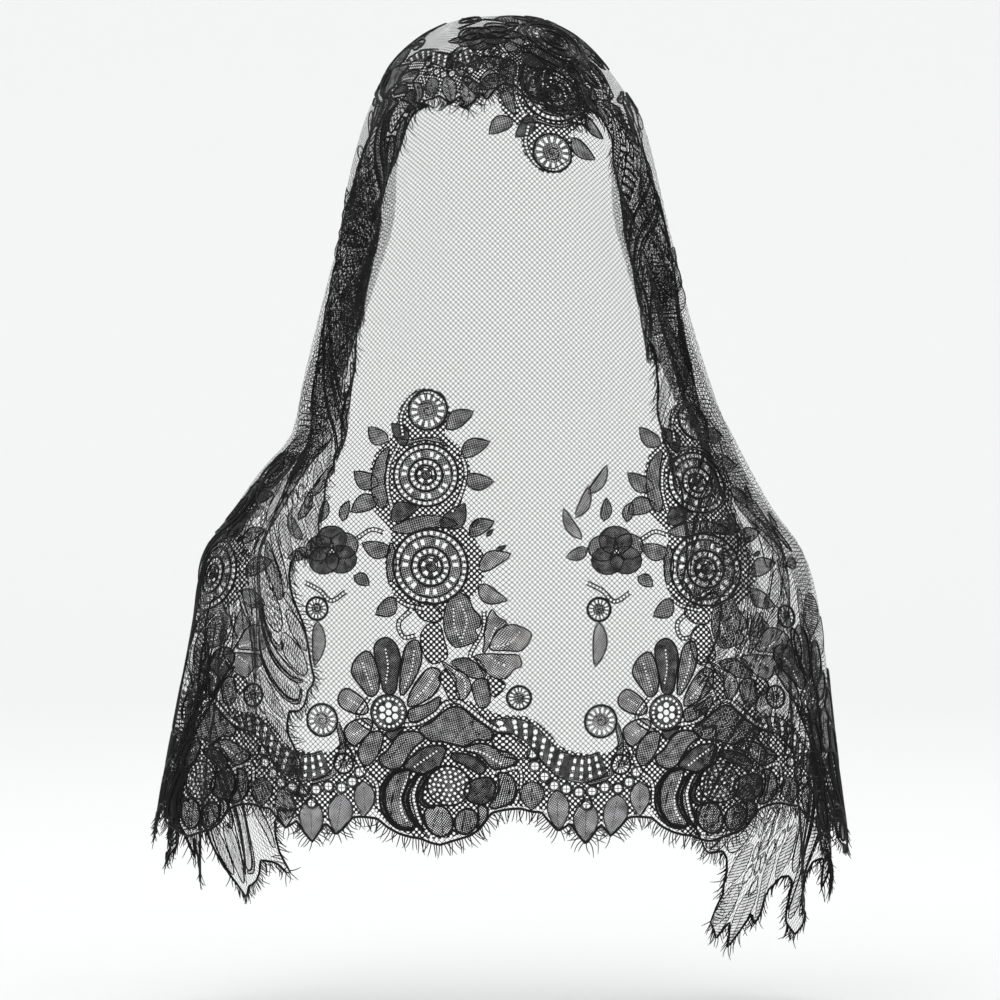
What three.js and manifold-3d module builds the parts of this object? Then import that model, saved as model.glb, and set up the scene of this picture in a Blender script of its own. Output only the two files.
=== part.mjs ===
// Lace veil: a half round of black lace, held in the shape that it takes when it is worn over a head.
// Millimetres, +Z is up. The back of the veil faces -Y and the face opening faces +Y.
// The origin is the inside of the crown, where the veil sits.
//
// A place on the cloth is given by two numbers: place, from 0 at the middle of the back to 1 at the right
// face edge and -1 at the left one, and drop, the distance below the crown.

import * as THREE from 'three';
import { mergeVertices } from 'three/addons/utils/BufferGeometryUtils.js';
import Module from 'manifold-3d';

const wasm = await Module();
wasm.setup();

// Driving sizes
const NET_THICKNESS = 1.2;
const BORDER_THICKNESS = 1.6;
const SEAM_GAP = 0.3;
const FOREHEAD_DROP = 50;
const HEM_BORDER_HEIGHT = 126;
const LACE_REPEAT = 175;
const FIRST_ROSE = -33;
const COLUMNS_PER_REPEAT = 10;
const SCALLOP_DEPTH = 19;
const FRINGE_THICKNESS = 1.1;
const FRINGE_GAP = 0.7;
const FRINGE_HEADING = 1.6;
const FRINGE_LOCK = 8;
const LOCK_LEAN = 0.2;
const SHORT_LOCK = 0.8;
const HEM_LOCK_PITCH = 12;
const FACE_LOCK_PITCH = 15;
const BLACK_LACE = 0x131214;
const NET_ROUGHNESS = 0.7;
const LACE_ROUGHNESS = 0.6;

// Turns from one lock of fringe to the next, which make their lean and their length uneven, in radians
const LEAN_TURN = 2.1;
const LENGTH_TURN = 1.3;

// Small steps for directions on the cloth, as an angle, a place and a drop, and how near two points are one
const ANGLE_STEP = 0.01;
const PLACE_STEP = 0.004;
const DROP_STEP = 0.8;
const SAME = 1e-6;
const MERGE_WITHIN = 1e-4;

// Horizontal sections of the veil. left and right are the half widths, back and front the depths, face_gap
// the half width of the face opening, and square how boxy the outline is (2 is an ellipse).
const SECTIONS = [
  { drop: 0, left: 6, right: 6, back: 6, front: 6, face_gap: 0, square: 2 },
  { drop: 1.5, left: 26, right: 24, back: 26, front: 25, face_gap: 0, square: 2 },
  { drop: 6, left: 42, right: 37, back: 44, front: 42, face_gap: 0, square: 2 },
  { drop: 15, left: 58, right: 52, back: 63, front: 60, face_gap: 0, square: 2 },
  { drop: 30, left: 74, right: 67, back: 82, front: 77, face_gap: 0, square: 2 },
  { drop: 50, left: 85, right: 82, back: 95, front: 88, face_gap: 0, square: 2 },
  { drop: 54, left: 87, right: 85, back: 97, front: 88, face_gap: 27, square: 2 },
  { drop: 62, left: 90.5, right: 90, back: 101, front: 87, face_gap: 44, square: 2 },
  { drop: 78, left: 96, right: 97, back: 106, front: 83, face_gap: 60, square: 2 },
  { drop: 107, left: 104, right: 105, back: 112, front: 72, face_gap: 77, square: 2 },
  { drop: 150, left: 112, right: 115, back: 115, front: 62, face_gap: 90, square: 2 },
  { drop: 200, left: 124, right: 126, back: 116, front: 58, face_gap: 97, square: 2.1 },
  { drop: 255, left: 138, right: 144, back: 118, front: 67, face_gap: 105, square: 2.2 },
  { drop: 282, left: 144, right: 157, back: 121, front: 76, face_gap: 109, square: 2.3 },
  { drop: 303, left: 163, right: 168, back: 125, front: 86, face_gap: 114, square: 2.3 },
  { drop: 330, left: 183, right: 184, back: 130, front: 96, face_gap: 119, square: 2.4 },
  { drop: 360, left: 204, right: 206, back: 134, front: 104, face_gap: 123, square: 2.5 },
  { drop: 404, left: 210, right: 216, back: 138, front: 112, face_gap: 128, square: 2.6 },
  { drop: 467, left: 222, right: 223, back: 142, front: 118, face_gap: 132, square: 2.6 },
  { drop: 519, left: 232, right: 229, back: 144, front: 120, face_gap: 134, square: 2.6 },
  { drop: 560, left: 237, right: 234, back: 145, front: 120, face_gap: 135, square: 2.6 },
  { drop: 645, left: 239, right: 237, back: 146, front: 118, face_gap: 137, square: 2.6 },
];

// How far the hem hangs below the crown, at the bottom of its scallops
const HEM_LINE = [
  { place: -1, drop: 607 },
  { place: -0.85, drop: 600 },
  { place: -0.68, drop: 576 },
  { place: -0.56, drop: 552 },
  { place: -0.45, drop: 545 },
  { place: 0, drop: 545 },
  { place: 0.45, drop: 545 },
  { place: 0.56, drop: 553 },
  { place: 0.68, drop: 590 },
  { place: 0.85, drop: 632 },
  { place: 1, drop: 641 },
];

// The valleys between the hanging folds: where each lies, half its width, its depth, and where it starts
const FOLDS = [
  { place: -0.94, half_width: 0.045, depth: 12, start: 90 },
  { place: -0.835, half_width: 0.055, depth: 20, start: 60 },
  { place: -0.72, half_width: 0.055, depth: 18, start: 60 },
  { place: -0.6, half_width: 0.055, depth: 14, start: 75 },
  { place: -0.47, half_width: 0.065, depth: 7, start: 240 },
  { place: 0.44, half_width: 0.06, depth: 8, start: 200 },
  { place: 0.57, half_width: 0.05, depth: 16, start: 60 },
  { place: 0.685, half_width: 0.05, depth: 20, start: 50 },
  { place: 0.8, half_width: 0.055, depth: 22, start: 50 },
  { place: 0.92, half_width: 0.045, depth: 15, start: 80 },
];
const FOLD_FULL_DROP = 160;

// The line behind which the plain net starts, seen from the side
const FACE_BORDER_LINE = [
  { y: 28, z: 20 },
  { y: 27, z: -10 },
  { y: 14, z: -45 },
  { y: -10, z: -90 },
  { y: -26, z: -130 },
  { y: -38, z: -180 },
  { y: -36, z: -240 },
  { y: -24, z: -290 },
  { y: -4, z: -330 },
  { y: 14, z: -400 },
  { y: 24, z: -500 },
  { y: 26, z: -680 },
];

// The scalloped edge of one repeat: lobes under the rose and the leaf fan, with a small one between
const SCALLOPS = [
  { centre: 0, half_width: 36, height: 1, point: 0.5 },
  { centre: 52, half_width: 15, height: 0.45, point: 0.7 },
  { centre: 88, half_width: 24, height: 1, point: 0.9 },
  { centre: 123, half_width: 14, height: 0.45, point: 0.7 },
  { centre: LACE_REPEAT, half_width: 36, height: 1, point: 0.5 },
];

// Groups of openings in one repeat: along and up are the centre from the foot of the rose, ring the radius the
// openings stand on, and wide and tall the size of each
const OPENINGS = [
  { along: 0, up: 42, count: 5, ring: 9, from_deg: 90, to_deg: 378, wide: 5, tall: 6 },
  { along: -29, up: 86, count: 6, ring: 8, from_deg: 90, to_deg: 390, wide: 4.4, tall: 4.4 },
  { along: 86, up: 78, count: 5, ring: 34, from_deg: -142, to_deg: -38, wide: 8, tall: 12 },
];
const OPENING_SIDES = 6;

// Rows of the cloth above the hem border, as drops, and rows of the border, as shares of its height
const DOME_ROWS = [1.5, 6, 15, 30, FOREHEAD_DROP];
const BODY_ROWS = [54, 62, 78, 107, 150, 200, 245, 282, 305, 332, 360, 392];
const BORDER_ROWS = [0.35, 0.7, 1];

function smoothStep(t) {
  const u = Math.min(Math.max(t, 0), 1);
  return u * u * (3 - 2 * u);
}

// A smooth curve through one column of a table, read at a value of another column
function readTable(table, key, column, value) {
  const last = table.length - 2;
  let i = 0;
  while (i < last && table[i + 1][key] < value) {
    i += 1;
  }
  const a = table[i];
  const b = table[i + 1];
  const before = table[Math.max(i - 1, 0)];
  const after = table[Math.min(i + 2, table.length - 1)];
  const span = b[key] - a[key];
  const t = Math.min(Math.max((value - a[key]) / span, 0), 1);
  const slopeA = (b[column] - before[column]) / Math.max(b[key] - before[key], SAME);
  const slopeB = (after[column] - a[column]) / Math.max(after[key] - a[key], SAME);
  const t2 = t * t;
  const t3 = t2 * t;
  const start = (2 * t3 - 3 * t2 + 1) * a[column] + (t3 - 2 * t2 + t) * span * slopeA;
  const end = (3 * t2 - 2 * t3) * b[column] + (t3 - t2) * span * slopeB;
  return start + end;
}

function sectionAt(drop) {
  const section = {};
  for (const column of ['left', 'right', 'back', 'front', 'face_gap', 'square']) {
    const exact = SECTIONS.find((row) => Math.abs(row.drop - drop) < SAME);
    section[column] = exact ? exact[column] : readTable(SECTIONS, 'drop', column, drop);
  }
  return section;
}

function hemDrop(place) {
  return readTable(HEM_LINE, 'place', 'drop', place);
}

// The angle from the middle of the back to the face edge
function faceAngle(section, side) {
  const width = side < 0 ? section.left : section.right;
  const ratio = Math.min(Math.max(section.face_gap / width, 0), 1);
  return Math.PI - Math.asin(ratio ** (section.square / 2));
}

function outlinePoint(section, angle) {
  const s = Math.sin(angle);
  const c = Math.cos(angle);
  const power = 2 / section.square;
  const width = s < 0 ? section.left : section.right;
  const depth = c > 0 ? -section.back : section.front;
  const x = Math.sign(s) * width * Math.abs(s) ** power;
  const y = depth * Math.abs(c) ** power;
  return new THREE.Vector2(x, y);
}

function foldDepth(place, drop) {
  let depth = 0;
  for (const fold of FOLDS) {
    const t = Math.abs(place - fold.place) / fold.half_width;
    if (t < 1) {
      const grown = smoothStep((drop - fold.start) / FOLD_FULL_DROP);
      depth += fold.depth * grown * 0.5 * (1 + Math.cos(Math.PI * t));
    }
  }
  return depth;
}

// The middle of the cloth's thickness
function clothPoint(place, drop) {
  const section = sectionAt(drop);
  const angle = place * faceAngle(section, place);
  const here = outlinePoint(section, angle);
  const after = outlinePoint(section, angle + ANGLE_STEP);
  const before = outlinePoint(section, angle - ANGLE_STEP);
  const along = after.sub(before).normalize();
  const depth = foldDepth(place, drop);
  const x = here.x - along.y * depth;
  const y = here.y + along.x * depth;
  return new THREE.Vector3(x, y, NET_THICKNESS / 2 - drop);
}

// Unit directions at a place: along the hem, down the cloth and out of it
function clothFrame(place, drop) {
  const point = clothPoint(place, drop);
  const along = clothPoint(place + PLACE_STEP, drop).sub(clothPoint(place - PLACE_STEP, drop)).normalize();
  const above = clothPoint(place, Math.max(drop - DROP_STEP, 0));
  const down = clothPoint(place, drop + DROP_STEP).sub(above).normalize();
  const out = new THREE.Vector3().crossVectors(down, along).normalize();
  return { point, along, down, out };
}

// The hem measured along the cloth: distances from the middle of the back, against place
function measureHem() {
  const steps = 1200;
  const rows = [];
  let length = 0;
  let previous = null;
  for (let i = 0; i <= steps; i += 1) {
    const place = -1 + (2 * i) / steps;
    const point = clothPoint(place, hemDrop(place) - SCALLOP_DEPTH);
    if (previous) {
      length += point.distanceTo(previous);
    }
    rows.push({ place, length });
    previous = point;
  }
  const middle = rows[steps / 2].length;
  for (const row of rows) {
    row.length -= middle;
  }
  return rows;
}

const hemMeasure = measureHem();
const HEM_START = hemMeasure[0].length;
const HEM_END = hemMeasure[hemMeasure.length - 1].length;

function placeAlongHem(length) {
  let low = 0;
  let high = hemMeasure.length - 1;
  while (high - low > 1) {
    const middle = (low + high) >> 1;
    if (hemMeasure[middle].length <= length) {
      low = middle;
    } else {
      high = middle;
    }
  }
  const a = hemMeasure[low];
  const b = hemMeasure[high];
  const t = (length - a.length) / (b.length - a.length);
  return a.place + (b.place - a.place) * t;
}

// How far the scalloped edge stands above the hem line, at a distance along the hem
function scallopRise(length) {
  const phase = THREE.MathUtils.euclideanModulo(length - FIRST_ROSE, LACE_REPEAT);
  let reach = 0;
  for (const lobe of SCALLOPS) {
    const t = Math.abs(phase - lobe.centre) / lobe.half_width;
    if (t < 1) {
      reach = Math.max(reach, lobe.height * (1 - t ** (1 / lobe.point)) ** lobe.point);
    }
  }
  return SCALLOP_DEPTH * (1 - reach);
}

// Columns of the cloth: evenly spaced in each repeat, so that the lobes and notches are met
function hemColumns() {
  const pitch = LACE_REPEAT / COLUMNS_PER_REPEAT;
  const first = Math.ceil((HEM_START - FIRST_ROSE + pitch / 2) / pitch);
  const lengths = [HEM_START];
  for (let i = first; FIRST_ROSE + i * pitch < HEM_END - pitch / 2; i += 1) {
    lengths.push(FIRST_ROSE + i * pitch);
  }
  lengths.push(HEM_END);
  return lengths.map((length) => ({ length, place: placeAlongHem(length) }));
}

// Rows of the cloth for one column, as drops, from the crown to the scalloped hem
function bodyDrop(place, drop) {
  const stretch = (hemDrop(place) - FOREHEAD_DROP) / (hemDrop(0) - FOREHEAD_DROP);
  return FOREHEAD_DROP + (drop - FOREHEAD_DROP) * stretch;
}

function borderDrop(column, share) {
  const top = hemDrop(column.place) - HEM_BORDER_HEIGHT;
  const bottom = hemDrop(column.place) - scallopRise(column.length);
  return top + (bottom - top) * share;
}

function upperRows(gap) {
  const rows = DOME_ROWS.map((drop) => () => drop);
  for (const drop of BODY_ROWS) {
    rows.push((column) => bodyDrop(column.place, drop));
  }
  rows.push((column) => borderDrop(column, 0) - gap);
  return rows;
}

function borderRows() {
  return BORDER_ROWS.map((share) => (column) => borderDrop(column, share));
}

// A closed body from a list of triangles, each three points
function solidFromTriangles(triangles) {
  const positions = [];
  for (const corners of triangles) {
    for (const corner of corners) {
      positions.push(corner.x, corner.y, corner.z);
    }
  }
  const geometry = new THREE.BufferGeometry();
  geometry.setAttribute('position', new THREE.Float32BufferAttribute(positions, 3));
  return toManifold(geometry);
}

function toManifold(source) {
  const geometry = source.clone();
  geometry.deleteAttribute('normal');
  geometry.deleteAttribute('uv');
  const merged = mergeVertices(geometry, MERGE_WITHIN);
  const index = [];
  for (let i = 0; i < merged.index.count; i += 3) {
    const a = merged.index.getX(i);
    const b = merged.index.getX(i + 1);
    const c = merged.index.getX(i + 2);
    if (a !== b && b !== c && c !== a) {
      index.push(a, b, c);
    }
  }
  const mesh = new wasm.Mesh({
    numProp: 3,
    vertProperties: new Float32Array(merged.attributes.position.array),
    triVerts: new Uint32Array(index),
  });
  return new wasm.Manifold(mesh);
}

// Two triangles for a four sided patch, split the shorter way
function patch(a, b, c, d) {
  if (a.distanceTo(c) <= b.distanceTo(d)) {
    return [[a, b, c], [a, c, d]];
  }
  return [[a, b, d], [b, c, d]];
}

// The two faces of the cloth over a grid of rows and columns
function clothSheet(rows, columns, thickness) {
  const outer = [];
  const inner = [];
  for (const row of rows) {
    const outerRow = [];
    const innerRow = [];
    for (const column of columns) {
      const { point, out } = clothFrame(column.place, row(column));
      outerRow.push(point.clone().addScaledVector(out, thickness / 2));
      innerRow.push(point.clone().addScaledVector(out, -thickness / 2));
    }
    outer.push(outerRow);
    inner.push(innerRow);
  }
  return { outer, inner };
}

// A wall of cloth. With a crown it is closed at the top and joined at the front down to the forehead.
function clothWall(rows, columns, thickness, withCrown) {
  const { outer, inner } = clothSheet(rows, columns, thickness);
  const triangles = [];
  const last = columns.length - 1;
  const joined = withCrown ? DOME_ROWS.length - 1 : -1;
  for (let r = 0; r <= joined; r += 1) {
    outer[r][last] = outer[r][0];
    inner[r][last] = inner[r][0];
  }
  for (let r = 0; r + 1 < rows.length; r += 1) {
    for (let c = 0; c < last; c += 1) {
      triangles.push(...patch(outer[r][c], outer[r + 1][c], outer[r + 1][c + 1], outer[r][c + 1]));
      triangles.push(...patch(inner[r][c + 1], inner[r + 1][c + 1], inner[r + 1][c], inner[r][c]));
    }
    if (r >= joined) {
      triangles.push(...patch(inner[r][0], inner[r + 1][0], outer[r + 1][0], outer[r][0]));
      triangles.push(...patch(outer[r][last], outer[r + 1][last], inner[r + 1][last], inner[r][last]));
    }
  }
  const bottom = rows.length - 1;
  const crown = NET_THICKNESS / 2;
  const topOuter = new THREE.Vector3(0, 0, crown + thickness / 2);
  const topInner = new THREE.Vector3(0, 0, crown - thickness / 2);
  for (let c = 0; c < last; c += 1) {
    triangles.push(...patch(outer[bottom][c], inner[bottom][c], inner[bottom][c + 1], outer[bottom][c + 1]));
    if (withCrown) {
      triangles.push([topOuter, outer[0][c], outer[0][c + 1]]);
      triangles.push([topInner, inner[0][c + 1], inner[0][c]]);
    } else {
      triangles.push(...patch(inner[0][c], outer[0][c], outer[0][c + 1], inner[0][c + 1]));
    }
  }
  return solidFromTriangles(triangles);
}

// Everything in front of the face border line, moved forward by a gap, as a block that cuts or keeps
function facePart(gap) {
  const shape = new THREE.Shape();
  const far = 400;
  const first = FACE_BORDER_LINE[0];
  const last = FACE_BORDER_LINE[FACE_BORDER_LINE.length - 1];
  shape.moveTo(far, first.z);
  for (const point of FACE_BORDER_LINE) {
    shape.lineTo(point.y - gap, point.z);
  }
  shape.lineTo(far, last.z);
  const block = new THREE.ExtrudeGeometry(shape, { depth: 2 * far, bevelEnabled: false });
  const turn = new THREE.Matrix4().makeBasis(
    new THREE.Vector3(0, 1, 0),
    new THREE.Vector3(0, 0, 1),
    new THREE.Vector3(1, 0, 0),
  );
  turn.setPosition(-far, 0, 0);
  block.applyMatrix4(turn);
  return toManifold(block);
}

// A short prism through the cloth, with an outline that is wide along the hem and tall up the cloth
function openingCutter(place, drop, tilt, wide, tall) {
  const reach = 3;
  const shape = new THREE.Shape();
  for (let i = 0; i < OPENING_SIDES; i += 1) {
    const angle = (2 * Math.PI * (i + 0.5)) / OPENING_SIDES;
    const x = (wide / 2) * Math.cos(angle);
    const y = (tall / 2) * Math.sin(angle);
    const turnedX = x * Math.cos(tilt) - y * Math.sin(tilt);
    const turnedY = x * Math.sin(tilt) + y * Math.cos(tilt);
    if (i === 0) {
      shape.moveTo(turnedX, turnedY);
    } else {
      shape.lineTo(turnedX, turnedY);
    }
  }
  const prism = new THREE.ExtrudeGeometry(shape, { depth: 2 * reach, bevelEnabled: false });
  const { point, along, out } = clothFrame(place, drop);
  const up = new THREE.Vector3().crossVectors(out, along).normalize();
  const set = new THREE.Matrix4().makeBasis(along, up, out);
  set.setPosition(point.clone().addScaledVector(out, -reach));
  prism.applyMatrix4(set);
  return toManifold(prism);
}

// The openings of every repeat that lies whole on the hem
function openingCutters() {
  const cutters = [];
  const firstRepeat = Math.ceil((HEM_START - FIRST_ROSE) / LACE_REPEAT);
  for (let repeat = firstRepeat; FIRST_ROSE + repeat * LACE_REPEAT < HEM_END; repeat += 1) {
    for (const group of OPENINGS) {
      for (let i = 0; i < group.count; i += 1) {
        const turn = group.from_deg + ((group.to_deg - group.from_deg) * i) / (group.count - 1);
        const angle = THREE.MathUtils.degToRad(turn);
        const along = FIRST_ROSE + repeat * LACE_REPEAT + group.along + group.ring * Math.cos(angle);
        const up = group.up + group.ring * Math.sin(angle);
        if (along - group.wide > HEM_START && along + group.wide < HEM_END) {
          const place = placeAlongHem(along);
          const tilt = angle - Math.PI / 2;
          cutters.push(openingCutter(place, hemDrop(place) - up, tilt, group.wide, group.tall));
        }
      }
    }
  }
  return cutters;
}

// A heading tape with pointed locks, along an edge given as points with the directions off it and out of it
function fringeStrip(edge) {
  const half = FRINGE_THICKNESS / 2;
  const front = [];
  const rear = [];
  for (const { point, off, out } of edge) {
    const top = point.clone().addScaledVector(off, FRINGE_GAP);
    const foot = point.clone().addScaledVector(off, FRINGE_GAP + FRINGE_HEADING);
    front.push([top.clone().addScaledVector(out, half), foot.clone().addScaledVector(out, half)]);
    rear.push([top.clone().addScaledVector(out, -half), foot.clone().addScaledVector(out, -half)]);
  }
  const triangles = [];
  const last = edge.length - 1;
  for (let i = 0; i < last; i += 1) {
    const lean = LOCK_LEAN * Math.sin(i * LEAN_TURN);
    const reach = FRINGE_LOCK * (SHORT_LOCK + (1 - SHORT_LOCK) * Math.sin(i * LENGTH_TURN));
    const tip = front[i][1].clone().add(rear[i + 1][1]).multiplyScalar(0.5);
    tip.addScaledVector(edge[i + 1].point.clone().sub(edge[i].point), lean);
    tip.addScaledVector(edge[i].hang, reach);
    triangles.push(...patch(front[i][0], front[i][1], front[i + 1][1], front[i + 1][0]));
    triangles.push(...patch(rear[i + 1][0], rear[i + 1][1], rear[i][1], rear[i][0]));
    triangles.push(...patch(rear[i][0], front[i][0], front[i + 1][0], rear[i + 1][0]));
    triangles.push([front[i][1], tip, front[i + 1][1]]);
    triangles.push([rear[i + 1][1], tip, rear[i][1]]);
    triangles.push([front[i][1], rear[i][1], tip]);
    triangles.push([rear[i + 1][1], front[i + 1][1], tip]);
  }
  triangles.push(...patch(front[0][0], rear[0][0], rear[0][1], front[0][1]));
  triangles.push(...patch(front[last][1], rear[last][1], rear[last][0], front[last][0]));
  return solidFromTriangles(triangles);
}

// An edge with more points on its straight stretches, about one for each lock
function divideEdge(corners, pitch) {
  const edge = [corners[0]];
  for (let i = 1; i < corners.length; i += 1) {
    const a = corners[i - 1];
    const b = corners[i];
    const count = Math.max(1, Math.round(a.point.distanceTo(b.point) / pitch));
    for (let k = 1; k <= count; k += 1) {
      const t = k / count;
      edge.push({
        point: a.point.clone().lerp(b.point, t),
        off: a.off.clone().lerp(b.off, t),
        hang: a.hang.clone().lerp(b.hang, t),
        out: a.out.clone().lerp(b.out, t),
      });
    }
  }
  return edge;
}

// The directions off an edge, square to it and in the plane of the cloth. Locks hang down, or stand off it.
function edgeCorners(path, locksHang) {
  return path.map(({ point, out, down }, i) => {
    const before = path[Math.max(i - 1, 0)].point;
    const after = path[Math.min(i + 1, path.length - 1)].point;
    const along = after.clone().sub(before).normalize();
    const off = new THREE.Vector3().crossVectors(along, out).normalize();
    return { point, out, off, hang: locksHang ? down : off };
  });
}

// The scalloped hem, from the left front corner to the right one
function hemEdge(columns) {
  const path = columns.map((column) => clothFrame(column.place, borderDrop(column, 1)));
  return divideEdge(edgeCorners(path, true), HEM_LOCK_PITCH);
}

// The face edge, up the right side, over the forehead and down the left side
function faceEdge(columns, rows) {
  const left = columns[0];
  const right = columns[columns.length - 1];
  const forehead = DOME_ROWS.length - 1;
  const path = [];
  for (let r = rows.length - 1; r > forehead; r -= 1) {
    path.push(clothFrame(right.place, rows[r](right)));
  }
  for (let r = forehead; r < rows.length; r += 1) {
    path.push(clothFrame(left.place, rows[r](left)));
  }
  return divideEdge(edgeCorners(path, false), FACE_LOCK_PITCH);
}

function meshFromManifold(name, solid, roughness) {
  const { vertProperties, triVerts, numProp } = solid.getMesh();
  const positions = [];
  for (let i = 0; i < vertProperties.length; i += numProp) {
    positions.push(vertProperties[i], vertProperties[i + 1], vertProperties[i + 2]);
  }
  const geometry = new THREE.BufferGeometry();
  geometry.setAttribute('position', new THREE.Float32BufferAttribute(positions, 3));
  geometry.setIndex(Array.from(triVerts));
  geometry.computeVertexNormals();
  const material = new THREE.MeshStandardMaterial({ color: BLACK_LACE, roughness, metalness: 0 });
  const mesh = new THREE.Mesh(geometry, material);
  mesh.name = name;
  return mesh;
}

const columns = hemColumns();
const allRows = [...upperRows(0), ...borderRows()];
const hemTop = (column) => borderDrop(column, 0);
const keepFace = facePart(0);
const clearFace = facePart(SEAM_GAP);
const openings = wasm.Manifold.union(openingCutters());

const netWall = clothWall(upperRows(SEAM_GAP), columns, NET_THICKNESS, true);
const hemWall = clothWall([hemTop, ...borderRows()], columns, BORDER_THICKNESS, false);
const wholeWall = clothWall(allRows, columns, BORDER_THICKNESS, true);

const veil = new THREE.Group();
veil.add(meshFromManifold('net_ground', netWall.subtract(clearFace), NET_ROUGHNESS));
veil.add(meshFromManifold('hem_lace_border', hemWall.subtract(clearFace).subtract(openings), LACE_ROUGHNESS));
veil.add(meshFromManifold('face_lace_border', wholeWall.intersect(keepFace), LACE_ROUGHNESS));
veil.add(meshFromManifold('hem_eyelash_fringe', fringeStrip(hemEdge(columns)), LACE_ROUGHNESS));
veil.add(meshFromManifold('face_eyelash_fringe', fringeStrip(faceEdge(columns, allRows)), LACE_ROUGHNESS));

export default veil;
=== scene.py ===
import functools
import math

import bpy
import numpy as np
from bpy.props import FloatProperty, FloatVectorProperty, IntProperty, PointerProperty
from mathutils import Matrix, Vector
from mathutils.geometry import delaunay_2d_cdt


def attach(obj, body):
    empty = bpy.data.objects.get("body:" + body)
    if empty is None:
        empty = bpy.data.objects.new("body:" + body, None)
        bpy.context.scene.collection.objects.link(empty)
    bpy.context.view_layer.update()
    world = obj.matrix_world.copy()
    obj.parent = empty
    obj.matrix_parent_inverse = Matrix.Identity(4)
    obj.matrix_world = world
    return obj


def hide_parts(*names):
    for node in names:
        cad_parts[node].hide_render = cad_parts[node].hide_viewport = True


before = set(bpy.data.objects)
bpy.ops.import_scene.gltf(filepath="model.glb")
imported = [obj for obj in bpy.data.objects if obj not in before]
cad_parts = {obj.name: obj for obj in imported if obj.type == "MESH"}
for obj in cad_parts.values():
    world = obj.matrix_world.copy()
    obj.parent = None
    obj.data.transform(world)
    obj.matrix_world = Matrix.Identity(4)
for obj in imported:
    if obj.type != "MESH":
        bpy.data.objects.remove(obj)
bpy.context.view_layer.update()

bl_info = {
    "name": "Lace veil",
    "version": (1, 0, 0),
    "blender": (4, 5, 0),
    "location": "3D View > Sidebar > Lace veil",
    "description": "Builds a draped floral lace veil with corded motifs and an eyelash fringe",
    "category": "Object",
}

MM = 0.001
TINY = 1e-9
# The least cloth that a pleat is reckoned with, in millimetres
SPARE_LEAST = 1e-6

# The cloth is cut flat and then draped. In the flat cut x runs to the right and y towards the back hem,
# in millimetres, with the crown at 0, 0. The face edge is nearly straight over the forehead,
# CROWN_TO_FACE in front of the crown, and bows back towards its ends: FACE_RISE at FACE_REACH from the
# middle.
CROWN_TO_FACE = 115.0
FACE_RISE = 400.0
FACE_REACH = 430.0
FACE_POWER = 2.7
FOREHEAD_DROP = 50.0
# A point well inside the flat cut
CUT_MIDDLE = (0.0, 100.0)

# The lace repeats along both edges. These are the places of a repeat on each, from the middle of the
# edge
REPEAT = 175.0
REPEATS = range(-5, 6)
FIRST_ROSE = -33.0
FACE_OFFSET = 59.0

# The pleats at the sides grow between two drops below the crown. On each side: how many there are, the
# share of a pleat that they wander by, and the phases of the wander and of the swell that make them
# uneven
PLEATS_FROM = 48.0
PLEATS_WHOLE_AT = 150.0
PLEATS_LEFT = (4, 0.022, 0.6, 0.0)
PLEATS_RIGHT = (4, 0.026, 2.1, 1.7)
WANDER_LENGTH = 95.0
WANDER_TURNS = 7.0
SWELL = 0.14
SWELL_PHASE = 3.0
SWELL_TURNS = 9.0
# At most this share of a section stays smooth, and a pleat is at most this full and swings this wide
SMOOTH_SHARE = 0.66
FULLEST = 12.0
WIDEST_SWING = 2.25
# From this place outwards, over this range, the cloth's length follows the face edge
SIDE_FROM = 0.42
SIDE_RANGE = 0.58

# Shallow waves of the smooth back: the drops over which they grow, and of a wide and of a fine set the
# depth and the turns from the middle to the face edge, with the phase of the wide and the length of the
# fine ones
RIPPLE_FROM = 190.0
RIPPLE_RANGE = 200.0
WIDE_RIPPLE = 3.2
WIDE_TURNS = 14.2
WIDE_PHASE = 0.6
FINE_RIPPLE = 2.2
FINE_TURNS = 25.0
FINE_LENGTH = 160.0

# The tables that the drape is worked out on: rows of the cut by radius, turns from the middle of the
# back to a face edge, places from the middle to the end of a section, and sections by drop
ROW_STEP = 4.0
ROWS_TO = 736.0
TURNS_A_SIDE = 360
PLACES_A_SIDE = 120
DROP_ROWS = 300
LOWEST_DROP = 700.0
FACE_LINE_TO = 760.0
FACE_LINE_STEP = 0.5
SWINGS = 300
WAVE_POINTS = 400
PASSES = 7
HEM_SMOOTHING = 15
# A small turn for the direction of an outline, the height of the cloth over the head, and the last whole
# cell
OUTLINE_TURN = 0.02
CROWN_LIFT = 0.6
LAST_CELL = 1.000001

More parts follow.
